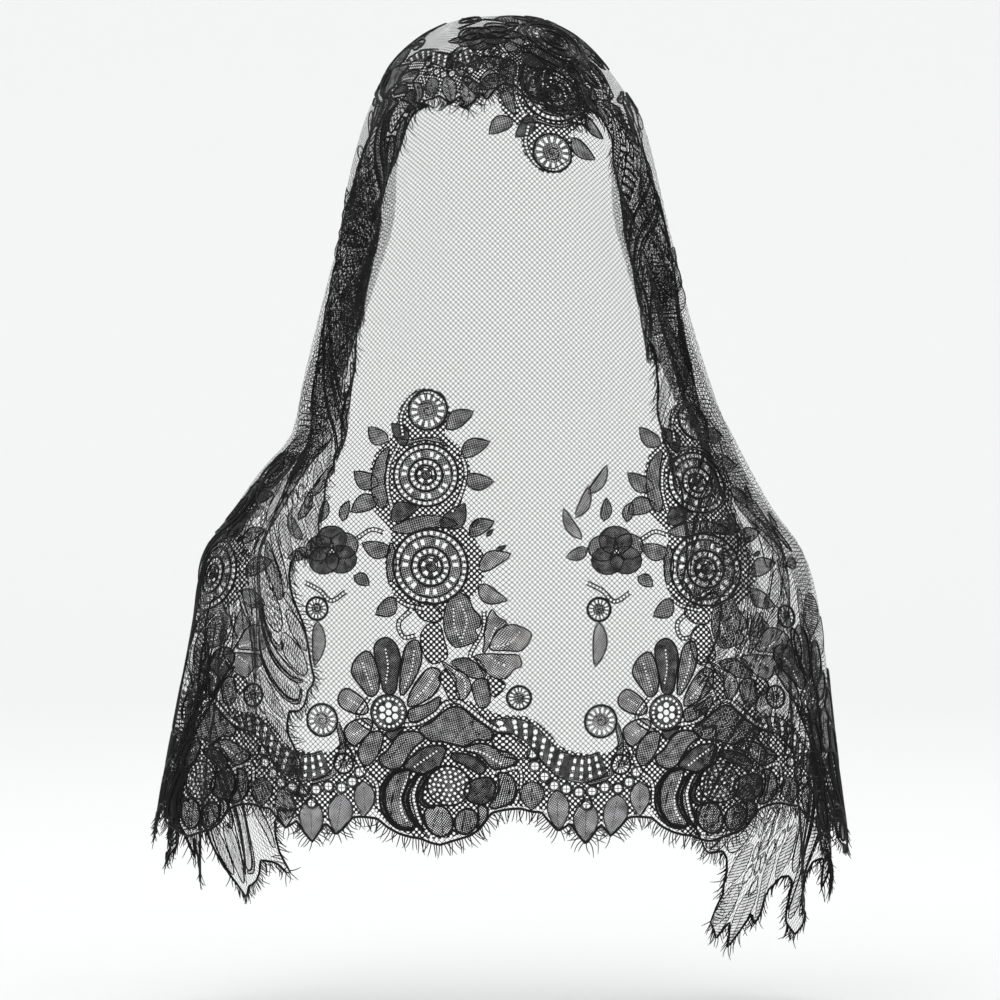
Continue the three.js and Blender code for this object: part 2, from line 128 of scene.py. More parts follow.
# Horizontal sections of the drape: drop below the crown, half widths to the left and right, depths to
# the back and front, half width of the face opening, and how boxy the outline is (2 is an ellipse)
SECTION_COLUMNS = ("drop", "left", "right", "back", "front", "face_gap", "square")
SECTIONS = np.array([
    (0, 6, 6, 6, 6, 0, 2), (1.5, 26, 24, 26, 25, 0, 2), (6, 42, 37, 44, 42, 0, 2),
    (15, 58, 52, 63, 60, 0, 2), (30, 74, 67, 82, 77, 0, 2), (50, 85, 82, 95, 88, 0, 2),
    (54, 87, 85, 97, 88, 27, 2), (62, 90.5, 90, 101, 87, 44, 2), (78, 96, 97, 106, 83, 60, 2),
    (107, 104, 105, 112, 72, 77, 2), (150, 112, 115, 115, 62, 90, 2), (200, 124, 126, 116, 58, 97, 2.1),
    (255, 138, 144, 118, 67, 105, 2.2), (282, 144, 157, 121, 76, 109, 2.3),
    (303, 163, 168, 125, 86, 114, 2.3), (330, 183, 184, 130, 96, 119, 2.4),
    (360, 204, 206, 134, 104, 123, 2.5), (404, 210, 216, 138, 112, 128, 2.6),
    (467, 222, 223, 142, 118, 132, 2.6), (519, 232, 229, 144, 120, 134, 2.6),
    (560, 237, 234, 145, 120, 135, 2.6), (645, 239, 237, 146, 118, 137, 2.6),
], float)

# The hem: place, from 0 at the middle of the back to 1 and -1 at the face edges, and the drop of its
# lobes
HEM_LINE = np.array([
    (-1, 607), (-0.85, 600), (-0.68, 576), (-0.56, 552), (-0.45, 545), (0, 545),
    (0.45, 545), (0.56, 553), (0.68, 590), (0.85, 632), (1, 641),
], float)

# Half the width of the smooth back, where the cloth lies without pleats: drop, width
SMOOTH_BACK = np.array([
    (0, 4), (50, 40), (107, 78), (150, 96), (200, 118), (255, 146), (303, 190),
    (360, 245), (404, 275), (467, 300), (519, 316), (560, 326), (700, 335),
], float)


def unit(vectors):
    """The vectors along the last axis, each made one long."""
    return vectors / np.maximum(np.linalg.norm(vectors, axis=-1, keepdims=True), TINY)


def face_line(x):
    """The face edge in the flat cut."""
    return FACE_RISE * (np.abs(x) / FACE_REACH) ** FACE_POWER - CROWN_TO_FACE


def face_slope(x):
    return FACE_RISE * FACE_POWER / FACE_REACH * (np.abs(x) / FACE_REACH) ** (FACE_POWER - 1)


def smooth_step(t):
    u = np.clip(t, 0, 1)
    return u * u * (3 - 2 * u)


def read_table(keys, values, x):
    """A smooth curve through the values of a table, read at x."""
    x = np.asarray(x, float)
    last = len(keys) - 1
    i = np.clip(np.searchsorted(keys, x) - 1, 0, last - 1)
    before = np.maximum(i - 1, 0)
    after = np.minimum(i + 2, last)
    span = keys[i + 1] - keys[i]
    t = np.clip((x - keys[i]) / span, 0, 1)
    slope_a = (values[i + 1] - values[before]) / np.maximum(keys[i + 1] - keys[before], TINY)
    slope_b = (values[after] - values[i]) / np.maximum(keys[after] - keys[i], TINY)
    t2, t3 = t * t, t * t * t
    start = (2 * t3 - 3 * t2 + 1) * values[i] + (t3 - 2 * t2 + t) * span * slope_a
    return start + (3 * t2 - 2 * t3) * values[i + 1] + (t3 - t2) * span * slope_b


def section_at(drop):
    """The section of the drape at a drop below the crown, as values by their column."""
    return {
        name: read_table(SECTIONS[:, 0], SECTIONS[:, i], drop)
        for i, name in enumerate(SECTION_COLUMNS)
    }


def outline_point(section, angle):
    """A point of a section's outline at an angle from the middle of the back."""
    s, c = np.sin(angle), np.cos(angle)
    power = 2 / section["square"]
    width = np.where(s < 0, section["left"], section["right"])
    depth = np.where(c > 0, -section["back"], section["front"])
    return np.sign(s) * width * np.abs(s) ** power, depth * np.abs(c) ** power


def carrier(place, drop, depth=0.0):
    """The smooth outer form of the drape, moved inwards by depth. Millimetres."""
    section = section_at(drop)
    width = np.where(place < 0, section["left"], section["right"])
    gap = np.clip(section["face_gap"] / width, 0, 1)
    angle = place * (math.pi - np.arcsin(gap ** (section["square"] / 2)))
    x, y = outline_point(section, angle)
    x1, y1 = outline_point(section, angle + OUTLINE_TURN)
    x0, y0 = outline_point(section, angle - OUTLINE_TURN)
    length = np.maximum(np.hypot(x1 - x0, y1 - y0), TINY)
    x = x - (y1 - y0) / length * depth
    y = y + (x1 - x0) / length * depth
    return np.stack([x, y, CROWN_LIFT - drop], -1)


def between(table, u, v):
    """A table read between its entries, at fractional row u and column v."""
    u = np.clip(u, 0, table.shape[0] - LAST_CELL)
    v = np.clip(v, 0, table.shape[1] - LAST_CELL)
    i, j = u.astype(int), v.astype(int)
    a, b = u - i, v - j
    if table.ndim == 3:
        a, b = a[..., None], b[..., None]
    top = table[i, j] * (1 - b) + table[i, j + 1] * b
    low = table[i + 1, j] * (1 - b) + table[i + 1, j + 1] * b
    return top * (1 - a) + low * a


def bessel(order, amplitudes):
    """Means over a wave, for the shape of a meander."""
    phase = np.linspace(0, math.pi, WAVE_POINTS)
    waves = np.cos(order * phase[None, :] - amplitudes[:, None] * np.sin(phase[None, :]))
    return waves.mean(1)


class Drape:
    """Where each point of the flat cut lies in the drape."""

    def __init__(self):
        self.radii = np.arange(0, ROWS_TO, ROW_STEP)
        self.turns = np.linspace(-1, 1, 2 * TURNS_A_SIDE + 1)
        x = np.linspace(0, FACE_LINE_TO, int(FACE_LINE_TO / FACE_LINE_STEP) + 1)
        y = face_line(x)
        self.edge_run = np.concatenate([[0], np.cumsum(np.hypot(np.diff(x), np.diff(y)))])
        self.edge_radius = np.hypot(x, y)
        self.edge_turn = np.arctan2(x, y)
        self._measure()
        self._lay()

    def _measure(self):
        """Measures the smooth form: the drop at each radius, and the place of each share of a section."""
        places = np.linspace(-1, 1, 2 * PLACES_A_SIDE + 1)
        drops = LOWEST_DROP * np.linspace(0, 1, DROP_ROWS) ** 2
        p, d = np.meshgrid(places, drops, indexing="ij")
        points = carrier(p, d)
        down = np.linalg.norm(np.diff(points, axis=1), axis=2)
        length = np.concatenate([np.zeros((len(places), 1)), np.cumsum(down, 1)], 1)
        at_forehead = np.array([np.interp(FOREHEAD_DROP, drops, row) for row in length])[:, None]
        side = np.where(p < 0, length[:1], length[-1:])
        side_forehead = np.where(p < 0, at_forehead[0], at_forehead[-1])
        edge = np.interp(np.maximum(side - side_forehead, 0), self.edge_run, self.edge_radius)
        share = smooth_step((np.abs(p) - SIDE_FROM) / SIDE_RANGE)
        below = (1 - share) * (length - at_forehead + CROWN_TO_FACE) + share * edge
        radius = np.where(d < FOREHEAD_DROP, length * CROWN_TO_FACE / at_forehead, below)
        radius = np.maximum.accumulate(radius, 1)
        self.drops = drops
        self.drop_of = np.array([np.interp(self.radii, row, drops) for row in radius])
        across = np.linalg.norm(np.diff(points[..., :2], axis=0), axis=2)
        arc = np.concatenate([np.zeros((1, len(drops))), np.cumsum(across, 0)], 0)
        arc = arc - arc[len(places) // 2]
        self.half_left = -arc[0]
        self.half_right = arc[-1]
        whole = np.where(arc < 0, self.half_left, self.half_right)
        shares = arc / np.maximum(whole, TINY)
        self.place_of = np.array([np.interp(places, column, places) for column in shares.T]).T

    def _lay(self):
        """Lays the cut on the form. The spare cloth of the sides hangs in pleats, each a meander."""
        r, turn = np.meshgrid(self.radii, self.turns, indexing="ij")
        cloth = r * self.face_turn(r)
        along = np.abs(turn) * cloth
        left = turn < 0
        sides = (np.where(left, a, b) for a, b in zip(PLEATS_LEFT, PLEATS_RIGHT))
        pleats, wander_share, wander_phase, swell_phase = sides
        amplitudes = np.linspace(0, WIDEST_SWING, SWINGS)
        waves = [bessel(k, amplitudes) for k in range(5)]
        place = turn.copy()
        drop = self.drop_at(place, r)
        for _ in range(PASSES):
            half_left = np.interp(drop, self.drops, self.half_left)
            half = np.where(left, half_left, np.interp(drop, self.drops, self.half_right))
            smooth = np.interp(drop, SMOOTH_BACK[:, 0], SMOOTH_BACK[:, 1])
            smooth = np.minimum(smooth, SMOOTH_SHARE * half)
            spare = np.maximum(cloth - smooth, SPARE_LEAST)
            room = np.maximum(half - smooth, SPARE_LEAST)
            t = np.clip((along - smooth) / spare, 0, 1)
            fullness = np.clip(spare / room, 1, FULLEST)
            swing = np.interp(1 - 1 / fullness, 1 - waves[0], amplitudes)
            j1, j2, j3, j4 = (np.interp(swing, amplitudes, w) for w in waves[1:])
            wander = wander_share * np.sin(r / WANDER_LENGTH + WANDER_TURNS * t + wander_phase)
            phase = 2 * math.pi * pleats * (t + wander * 4 * t * (1 - t))
            size = spare / (2 * math.pi * pleats)
            arc = np.where(along < smooth, along, smooth + room * t)
            size = size * smooth_step((drop - PLEATS_FROM) / (PLEATS_WHOLE_AT - PLEATS_FROM))
            sway = size * (j2 * np.sin(2 * phase) + j4 / 2 * np.sin(4 * phase))
            sway = np.where(along < smooth, 0, sway)
            half = np.maximum(half, SPARE_LEAST)
            mean_share = arc / half * np.sign(turn)
            share = np.clip((arc + sway) / half, 0, 1) * np.sign(turn)
            row = np.interp(drop, self.drops, np.arange(len(self.drops)))
            place = between(self.place_of, (share + 1) * PLACES_A_SIDE, row)
            drop = self.drop_at(place, r)
        inwards = size * (2 * j1 * (1 - np.cos(phase)) + 2 / 3 * j3 * (1 - np.cos(3 * phase)))
        inwards = np.where(along < smooth, 0, inwards)
        inwards = inwards * (1 - SWELL + SWELL * np.sin(SWELL_PHASE + SWELL_TURNS * t + swell_phase))
        self.table = carrier(place, drop, inwards + self.ripple(place, drop))
        self.mean_place = between(self.place_of, (mean_share + 1) * PLACES_A_SIDE, row)
        self.drop_table = drop
        across, down = np.gradient(self.table, axis=1), np.gradient(self.table, axis=0)
        self.normals = unit(np.cross(down, across))
        self.normals[0] = (0, 0, 1)

    def drop_at(self, place, radius):
        """The drop of the smooth form at a place, for a radius of the flat cut."""
        return between(self.drop_of, (place + 1) * PLACES_A_SIDE, radius / ROW_STEP)

    @staticmethod
    def ripple(place, drop):
        """Shallow waves of the smooth back."""
        grown = smooth_step((drop - RIPPLE_FROM) / RIPPLE_RANGE)
        wide = WIDE_RIPPLE * (1 - np.cos(WIDE_TURNS * place + WIDE_PHASE)) * 0.5
        fine = FINE_RIPPLE * (1 + np.sin(FINE_TURNS * place + drop / FINE_LENGTH)) * 0.5
        return grown * (wide + fine)

    def face_turn(self, r):
        """The turn from the middle of the back to the face edge at a radius of the flat cut."""
        return np.interp(r, self.edge_radius, self.edge_turn)

    def polar(self, flat):
        """Points of the flat cut as radius, and turn from 0 at the back to 1 and -1 at the face edges."""
        r = np.hypot(flat[:, 0], flat[:, 1])
        return r, np.arctan2(flat[:, 0], flat[:, 1]) / self.face_turn(r)

    def indices(self, flat):
        """Where points of the flat cut lie in the tables."""
        r, turn = self.polar(flat)
        return r / ROW_STEP, (turn + 1) * TURNS_A_SIDE

    def place(self, flat, lift=0.0):
        """Points of the flat cut in the drape, in metres, lifted off the cloth by lift millimetres."""
        u, v = self.indices(flat)
        points = between(self.table, u, v)
        if np.any(lift):
            points = points + self.out(flat) * np.reshape(lift, (-1, 1) if np.ndim(lift) else (1, 1))
        return points * MM

    def out(self, flat):
        """Directions out of the cloth."""
        return unit(between(self.normals, *self.indices(flat)))

    def hem_curve(self):
        """The hem line in the flat cut, from the left face edge to the right one."""
        above = self.drop_table - read_table(HEM_LINE[:, 0], HEM_LINE[:, 1], self.mean_place)
        radius = np.array([np.interp(0, above[:, j], self.radii) for j in range(len(self.turns))])
        window = np.hanning(2 * HEM_SMOOTHING + 1)
        padded = np.pad(radius, HEM_SMOOTHING, mode="reflect", reflect_type="odd")
        radius = np.convolve(padded, window / window.sum(), "valid")
        angle = self.turns * self.face_turn(radius)
        return np.stack([radius * np.sin(angle), radius * np.cos(angle)], 1)


# The lace pattern. One repeat is charted in strip measures: along the hem from the foot of the rose, and
# up from the hem line, in millimetres. Kinds of cloth, each over the ones before it; a hole is cut out.
KINDS = ("net", "sheer", "coarse", "light", "mid", "dark", "hole")

# The scalloped edge: along, up
EDGE = [
    (-47, 17.5), (-40, 11.7), (-33, 8), (-26, 6), (-19, 5), (-13, 2.4), (-7, 1.2), (0, 3.4), (6, 5.2),
    (12, 7), (18, 11), (22.8, 17), (27, 21.5), (35, 24), (43.5, 24.4), (50.7, 22.4), (57, 22), (61, 17),
    (67.6, 10), (72, 12.5), (75.5, 15), (80, 8), (85.6, 1.6), (91, 9), (95, 14), (101.4, 6.5), (107, 12),
    (112.5, 18), (117, 18.5), (122, 18.2),
]

# Ground of wide meshes round the border's motifs
GROUND = [
    (-62, 44), (-64, 60), (-50, 74), (-30, 78), (-18, 84), (0, 94), (14, 92), (32, 84), (46, 83),
    (60, 74), (68, 64), (84, 59), (100, 60), (110, 68), (118, 50), (116, 40), (119, 20), (112, 20),
    (101, 10), (95, 16), (85, 5), (76, 17), (68, 13), (60, 23), (36, 26), (26, 24), (16, 12), (0, 6),
    (-14, 5), (-28, 8), (-44, 18),
]

# Petals and leaves as smooth closed lines: kind, then the points
ROSE = [
    ("mid", [
        (-25, 48.6), (-33, 47.5), (-40, 41), (-43.2, 32), (-42, 24), (-38, 16.5), (-31, 11.8),
        (-23, 12.7), (-27.5, 21), (-30.7, 30), (-27.8, 38),
    ]),
    ("light", [
        (-20.5, 44), (-26.2, 34.7), (-27.4, 26.6), (-24, 18.4), (-18.5, 12.6), (-18, 18), (-21, 28.9),
        (-19, 36), (-14.4, 45),
    ]),
    ("light", [
        (-16.4, 22.5), (-9.8, 26.2), (-2.8, 24.2), (1.2, 17.3), (0.4, 10.5), (-5.2, 6.4), (-11, 8),
        (-15.6, 13.8),
    ]),
    ("mid", [(2.6, 12.8), (4.4, 20.8), (11.1, 24.4), (16.6, 20.8), (16.4, 13.6), (11.1, 8.4), (5.6, 8.6)]),
    ("light", [(17.6, 26.4), (22.9, 25.4), (24, 20.4), (20, 14.4), (16.5, 11.4), (18, 18)]),
    ("dark", [
        (9.9, 38.2), (15.7, 42.8), (25, 44), (29.4, 39.3), (27.3, 31.2), (20.4, 27), (12.2, 28.9),
        (8.8, 33.5),
    ]),
    ("mid", [
        (31, 47.2), (37.8, 44), (40.1, 35.8), (36.6, 28.2), (29, 24.2), (25, 26), (29.4, 31.5),
        (31.4, 39),
    ]),
    ("mid", [
        (12, 64), (20.4, 65.6), (29.7, 62.4), (41, 55.3), (30.5, 49), (24.4, 52.4), (18, 58.6), (9, 61),
    ]),
    ("dark", [(1.8, 59.4), (11.1, 58.6), (18.6, 55.2), (22.7, 49.8), (19.2, 46), (9.9, 51.5), (2, 55.4)]),
    ("mid", [
        (-44.6, 56.7), (-39, 61), (-33, 69.5), (-26, 73), (-18, 72), (-14.8, 68.6), (-21.4, 63.4),
        (-26.4, 56.7), (-31, 50), (-37.5, 48.8), (-43.5, 52.1),
    ]),
    ("dark", [
        (-29, 50.2), (-23.7, 57), (-16.8, 62.3), (-7.5, 64.2), (-2, 62.6), (-4, 55.6), (-7.5, 49.4),
        (-14.4, 46.4), (-22, 47.2),
    ]),
    ("mid", [
        (-19, 74), (-10, 79.6), (-4, 85), (2, 88.6), (8.6, 88), (15.7, 81.6), (28, 72.4), (25, 67.6),
        (17, 67.8), (8.8, 63.6), (-3, 66.4), (-12, 67.4),
    ]),
]
DAISY_PETALS = [
    ("light", [
        (-70.2, 94.5), (-64.4, 100), (-54, 93.5), (-50.6, 86), (-55, 83.2), (-62, 84.6), (-69, 88.6),
    ]),
    ("light", [
        (-66.5, 74.5), (-60, 79.6), (-51.4, 80.8), (-48, 77), (-52.6, 69.6), (-60.9, 63.1), (-65.5, 68),
    ]),
    ("mid", [(-61, 110), (-58, 119), (-50, 124), (-45, 116), (-43, 105), (-45, 97), (-50, 95), (-55, 101)]),
    ("dark", [
        (-46, 126), (-39.3, 132.6), (-32.6, 129.4), (-29.4, 120), (-31, 109), (-33.4, 97.6), (-40, 97.6),
        (-42.6, 108),
    ]),
    ("mid", [
        (-27, 124), (-22.6, 130.4), (-17.6, 130.2), (-15.8, 120), (-18.4, 111), (-24, 101),
        (-29.4, 95.4), (-30, 106),
    ]),
    ("light", [
        (-25, 94), (-20, 104), (-12, 113), (-5, 112), (-4.8, 103), (-9, 96.4), (-17, 91), (-24.6, 88.6),
    ]),
    ("mid", [(-24.6, 86.6), (-14, 90.4), (-5, 95.4), (-6.4, 88), (-12, 83.6), (-20, 78.6), (-25, 80)]),
    ("mid", [
        (-57, 63), (-50, 71.6), (-42.4, 72.4), (-42.6, 64), (-47.4, 55), (-53.4, 50.6), (-57.6, 55.6),
    ]),
    ("dark", [(-40.6, 72), (-34.6, 73.2), (-27, 76.4), (-30.4, 73), (-36.6, 67)]),
]
SPRAY = [
    ("mid", [
        (0.4, 157), (6.5, 161.4), (12.6, 158), (16, 150.6), (20.3, 146), (20.3, 140), (16.4, 138),
        (19, 132.6), (13, 128.6), (4, 126.6), (-1, 132), (-3.4, 141), (-2.4, 150),
    ]),
    ("light", [
        (28.4, 151), (32, 146.4), (36.6, 142), (31.6, 137), (27.4, 130), (21.6, 122.4), (22.6, 130),
        (22.8, 138.6), (25, 145.4),
    ]),
    ("light", [
        (36, 140.4), (43.6, 140.4), (52.4, 135.3), (50, 128.6), (45, 124.2), (35, 124.6), (26.4, 125.6),
        (29.6, 133.6),
    ]),
    ("light", [
        (16, 121), (25, 122.6), (37, 122), (44, 121.2), (46, 114.6), (39.8, 112.4), (34.4, 106.4),
        (26, 109.4), (20, 115),
    ]),
    ("mid", [(0.8, 117), (9.3, 120), (16, 117.4), (24, 108.6), (15, 107), (7, 112)]),
    ("light", [(-5, 117.4), (2.7, 113.2), (11.2, 108.4), (13.8, 100), (8.6, 93), (4.6, 96), (3.4, 104)]),
    ("mid", [(14.6, 103), (19.8, 107), (25, 105.4), (26.6, 98), (26, 91), (20, 87.6), (16, 94)]),
]
# Coarse ground between the parts of the spray, and at the foot of the swag
SPRAY_COARSE = [
    [
        (-17.3, 136.3), (-12.6, 141.4), (-6, 141), (-3, 131), (-1, 121), (-5.4, 117.2), (-11.6, 116),
        (-16.4, 122), (-18.3, 130.6),
    ],
    [(-6.9, 106.7), (-2, 113), (4, 107), (4.4, 101), (6.6, 94.3), (0.8, 92), (-3.6, 101)],
    [(25, 108.2), (33.2, 105.6), (35.1, 102), (30.3, 95), (26, 99)],
    [(-21.2, 153.4), (-12.6, 155), (-6, 150), (-4.6, 143.6), (-13, 142.6), (-19.3, 146)],
]
SWAG_COARSE = [
    (27, 70.6), (34, 71.6), (43, 66), (49.4, 60), (44, 55.6), (34, 57), (29, 64),
]

# Leaves along the edge: foot along and up, tip along and up, width, bend, kind
EDGE_LEAVES = [
    (50.6, 42, 50.6, 23.4, 16, 0, "mid"), (66, 36, 68.2, 10.4, 14, 0.6, "light"),
    (85, 29, 85.5, 2.4, 16, 0, "light"), (106, 33, 101.4, 7, 16, 0.5, "light"),
    (120, 41, 120.4, 19, 13.4, 0, "light"),
]

# Bands with cords on both sides: kind, width at the start, middle and end, and the middle line
BANDS = [
    ("dark", (1.2, 3.6, 1.2), [(-26, 49), (-36, 46), (-42.6, 36), (-42, 22), (-34, 12.4), (-24, 10.6)]),
    ("dark", (1.2, 3.4, 1.2), [(-20.4, 46), (-26.6, 36), (-28, 27), (-24, 17), (-17, 10)]),
    ("dark", (1.2, 4.0, 1.2), [(-7.5, 50), (-14.4, 45), (-18.6, 37), (-19, 30), (-15.6, 26), (-10, 25)]),
    ("mid", (2.6, 4.4, 2.6), [(86.5, 40), (97, 43.5), (103.5, 51), (107, 64), (104, 78)]),
    ("mid", (1.4, 3.4, 1.4), [(110, 52), (114, 58), (110, 65), (104, 61)]),
]

# Rows of round openings between two cords: width, size of the openings, their spacing and the middle
# line
BEADED = [
    (3.0, 1.9, 2.5, [
        (-29, 76.6), (-18, 78.6), (-8.6, 84), (-2, 90.6), (6, 92.2), (14, 86.4), (23, 79), (31, 74.4),
    ]),
    (2.8, 1.7, 2.4, [(-17, 46.6), (-23, 34), (-22, 24), (-18.6, 14), (-12.6, 6.4)]),
    (2.8, 1.7, 2.4, [(28.6, 47), (42, 50), (43.6, 38), (40, 28.6)]),
    (2.6, 1.6, 2.3, [(-50, 94), (-58, 81.6), (-47, 73)]),
    (2.6, 1.7, 2.4, [(-62, 62), (-55, 48), (-47, 40), (-46, 26)]),
]
SPRAY_BEADED = (2.6, 1.6, 2.3, [
    (22.6, 150), (22.2, 138), (15.4, 126), (13.4, 120.4), (18.6, 117), (23.6, 109.6),
])

# Rows of small openings inside the petals: size, spacing and the line
DOT_ROWS = [
    (1.5, 2.5, [(-26.5, 44), (-30, 36), (-31.6, 29), (-31, 22), (-28, 16.5)]),
    (1.4, 2.4, [(-17.4, 66.4), (-24, 60), (-29.6, 53)]),
    (1.3, 2.4, [(-8, 60.4), (-16, 55), (-22, 50.6)]),
    (1.4, 2.4, [(12, 61.6), (20, 60), (28, 55.6), (32, 53)]),
    (1.2, 2.4, [(-39, 104), (-37.4, 114), (-38.6, 125)]),
    (1.2, 2.4, [(-27, 101), (-22.4, 112), (-20.6, 124)]),
    (1.2, 2.4, [(-20.6, 94), (-13, 101.6), (-8.6, 108.6)]),
    (1.2, 2.4, [(-54, 87.6), (-63.6, 93.4)]),
    (1.2, 2.4, [(-52, 75.6), (-60.4, 70.6)]),
    (1.2, 2.4, [(-48, 100), (-51, 108), (-53.6, 116)]),
]
SPRAY_DOTS = [
    (1.2, 2.3, [(7.5, 155), (11.5, 144), (8.6, 133)]),
    (1.2, 2.3, [(3, 151), (3.6, 140), (8, 130.6)]),
    (1.2, 2.3, [(28, 126.8), (37, 129), (44.6, 136)]),
    (1.2, 2.3, [(26, 121), (34.6, 115.4)]),
    (1.2, 2.3, [(30.6, 139), (26.6, 131)]),
    (1.2, 2.3, [(3, 111.6), (9.4, 106), (10, 97)]),
]

# Fine lines inside petals
VEINS = [
    [(15, 80), (8, 74), (2, 66.4)], [(15.7, 82), (15, 75), (24, 68)], [(-12, 10), (-10, 17), (-7, 24)],
    [(-5, 8), (-5.6, 16), (-5, 23)], [(7, 10), (8, 16), (9.4, 22)], [(13, 10.6), (12.6, 16), (13, 22)],
    [(14, 31), (19, 36), (24, 42)], [(20, 28.6), (24, 34), (27, 40)], [(34, 30), (36, 36), (34.6, 44)],
    [(-38, 20), (-37, 30), (-33, 42)], [(-40, 54), (-34, 60), (-26, 69)], [(50.6, 26), (50.6, 38)],
    [(67.6, 14), (66.6, 32)], [(85.4, 6), (85, 26)], [(102, 11), (105.4, 30)], [(120.4, 22), (120, 38)],
]

# Ladders: openings between two lines: count, every which one is filled, and the two lines
LADDERS = [
    (15, 2,
        [(25, 80), (35.5, 81.7), (45.9, 80), (54, 75), (61, 67.4), (67, 61.8), (75, 58.2)],
        [(28.5, 73), (37, 71.8), (46, 67), (52, 60), (58, 53.3), (64.5, 46.3), (70, 43)],
    ),
    (9, 2, [(75, 58.2), (84, 57.4), (93, 60)], [(70, 43), (84, 40.4), (99, 45)]),
]

# Small rings: along, up
RINGS = [
    (50.6, 59), (52.3, 51.2), (58.4, 44.6), (64.6, 38.8), (72.4, 36.6), (80.4, 34.6), (88.8, 35),
    (85.6, 26.6), (97, 37.4), (105.6, 36.6), (112.6, 40.6), (117.6, 46.8),
]
# The heart of the rose: along, up, half width, half height. Its rings of openings: share of the heart,
# how many
ROSE_HEART = (-0.8, 38.6, 13.6, 12.6)
HEART_RINGS = [(0.24, 6), (0.47, 11), (0.69, 16), (0.9, 20)]
HEART_TWIST = 0.37
HEART_HOLE = 0.98
# The daisy's eye: along, up, radius. Its openings: distance from the middle, how many, start as a share
# of a step, radius and corners of each
DAISY = (-37.7, 84.8, 11.6)
DAISY_HOLES = [(0, 1, 0, 1.9, 8), (4.7, 6, 0.5, 1.95, 8), (9, 20, 0, 0.95, 6)]
# Curls: along, up, radius, kind
CURLS = [(41.8, 94.6, 7.6, "mid"), (93.6, 79.5, 10.4, "light"), (-67.8, 52, 6.4, "mid")]

# The plainer upper motifs, each kept in shape: medallions and pansies as along, up, radius
MEDALLIONS = [(-9, 178, 24), (-11, 238, 21)]
CLUSTER_CURL = (-9, 281, 13, "mid")
# The ground that joins them, and the filled parts on it
CLUSTER_GROUND = [
    (-47, 218), (-49, 238), (-44, 256), (-32, 268), (-28, 284), (-16, 295), (0, 292), (6, 278), (2, 265),
    (12, 256), (18, 240), (13, 224), (10, 208), (20, 196), (26, 182), (22, 164), (8, 152), (-10, 148),
    (-26, 152), (-36, 166), (-38, 184), (-34, 200),
]
# Leaves that grow out of it: foot, tip, width, bend, kind
CLUSTER_LEAVES = [
    (22, 176, 42, 186, 11, 2, "light"), (21, 166, 39, 156, 11, -2, "light"),
    (16, 198, 33, 207, 10, 2, "mid"), (-42, 232, -60, 242, 12, 2, "mid"),
    (-42, 222, -61, 214, 12, -2, "mid"), (12, 250, 31, 259, 11, 2, "mid"),
    (14, 236, 33, 233, 11, -2, "mid"), (-36, 262, -51, 273, 11, 2, "mid"), (3, 268, 21, 279, 11, 2, "mid"),
    (-34, 188, -53, 193, 11, 2, "mid"), (-32, 158, -45, 147, 11, 2, "mid"),
    (-2, 204, 14, 219, 13, -3, "dark"), (-34, 208, -16, 216, 12, 3, "dark"),
    (-24, 258, -34, 274, 10, -2, "dark"),
]
CLUSTER_FILLS = [
    [(-46, 224), (-47, 240), (-42, 253), (-35, 258), (-37, 246), (-38, 234), (-36, 222), (-40, 216)],
    [(-34, 202), (-24, 208), (-12, 211), (0, 210), (9, 206), (2, 203), (-10, 203), (-24, 199)],
    [(-30, 264), (-22, 262), (-12, 263), (-2, 262), (4, 256), (-4, 260), (-14, 261), (-26, 258)],
    [(-36, 168), (-37, 182), (-34, 194), (-31, 184), (-32, 172)],
]
CLUSTER_BEADED = [
    (2.6, 1.6, 2.4, [(-33, 216), (-36, 230), (-35, 246), (-29, 258)]),
    (2.6, 1.6, 2.4, [(-26, 266), (-27, 278), (-20, 290), (-8, 293), (2, 286)]),
    (2.6, 1.6, 2.4, [(12, 252), (15, 240), (12, 226), (6, 214)]),
    (2.6, 1.6, 2.4, [(-34, 160), (-26, 154), (-14, 151)]),
]
PANSIES = [(-73, 188, 17.5)]
BUDS = [(-84, 151, 7.5)]
# Seeds: along, up, turn in degrees
SEEDS = [(18, 206, 50), (26, 200, 45), (32, 190, 35)]
SEED_HALF = 3.2
SEED_WIDTH = 2.4
# Sprigs: foot, tip, width, bend, kind
SPRIGS = [
    (-84, 143, -86, 114, 9, 2, "light"), (-96, 196, -108, 216, 7, 2, "light"),
    (-100, 210, -92, 232, 7, -2, "light"), (-92, 226, -80, 246, 7, -2, "light"),
    (-58, 172, -48, 166, 8, 1, "mid"), (-92, 190, -106, 184, 8, 1, "mid"),
    (-66, 208, -62, 222, 7, 1, "mid"), (-82, 208, -80, 224, 7, -1, "mid"),
]
UPPER_BEADED = [
    (2.6, 1.6, 2.4, [(-22, 150), (-30, 142), (-27, 133), (-19, 134)]),
    (2.6, 1.6, 2.4, [(-64, 162), (-74, 156), (-82, 163), (-92, 168)]),
    (2.6, 1.6, 2.4, [(-56, 196), (-46, 202), (-38, 200)]),
]

# Steps along a line of the pattern, in millimetres: common, along the cut edge, and for lines that are
# cut again
LINE_STEP = 2.6
EDGE_STEP = 2.4
FINE_STEP = 0.8
SPAN_POINTS = 8
# A leaf's outline: powers that shift its widest part to the foot and make it full, and the step along it
LEAF_SHIFT = 0.82
LEAF_FULLNESS = 0.8
LEAF_STEP = 3.0
# A ladder's filled cells, and its openings: radius, shrinking row by row, and where the rows lie
LADDER_FILL = 0.86
LADDER_HOLE = 1.35
LADDER_HOLE_SIZES = (1.15, 1.0, 0.85)
LADDER_FIRST_ROW = 0.75
WIDE_LADDER = 10.0
# A small ring: its two radii and the eye
RING_OUTER = 3.9
RING_INNER = 2.5
RING_EYE = 0.9
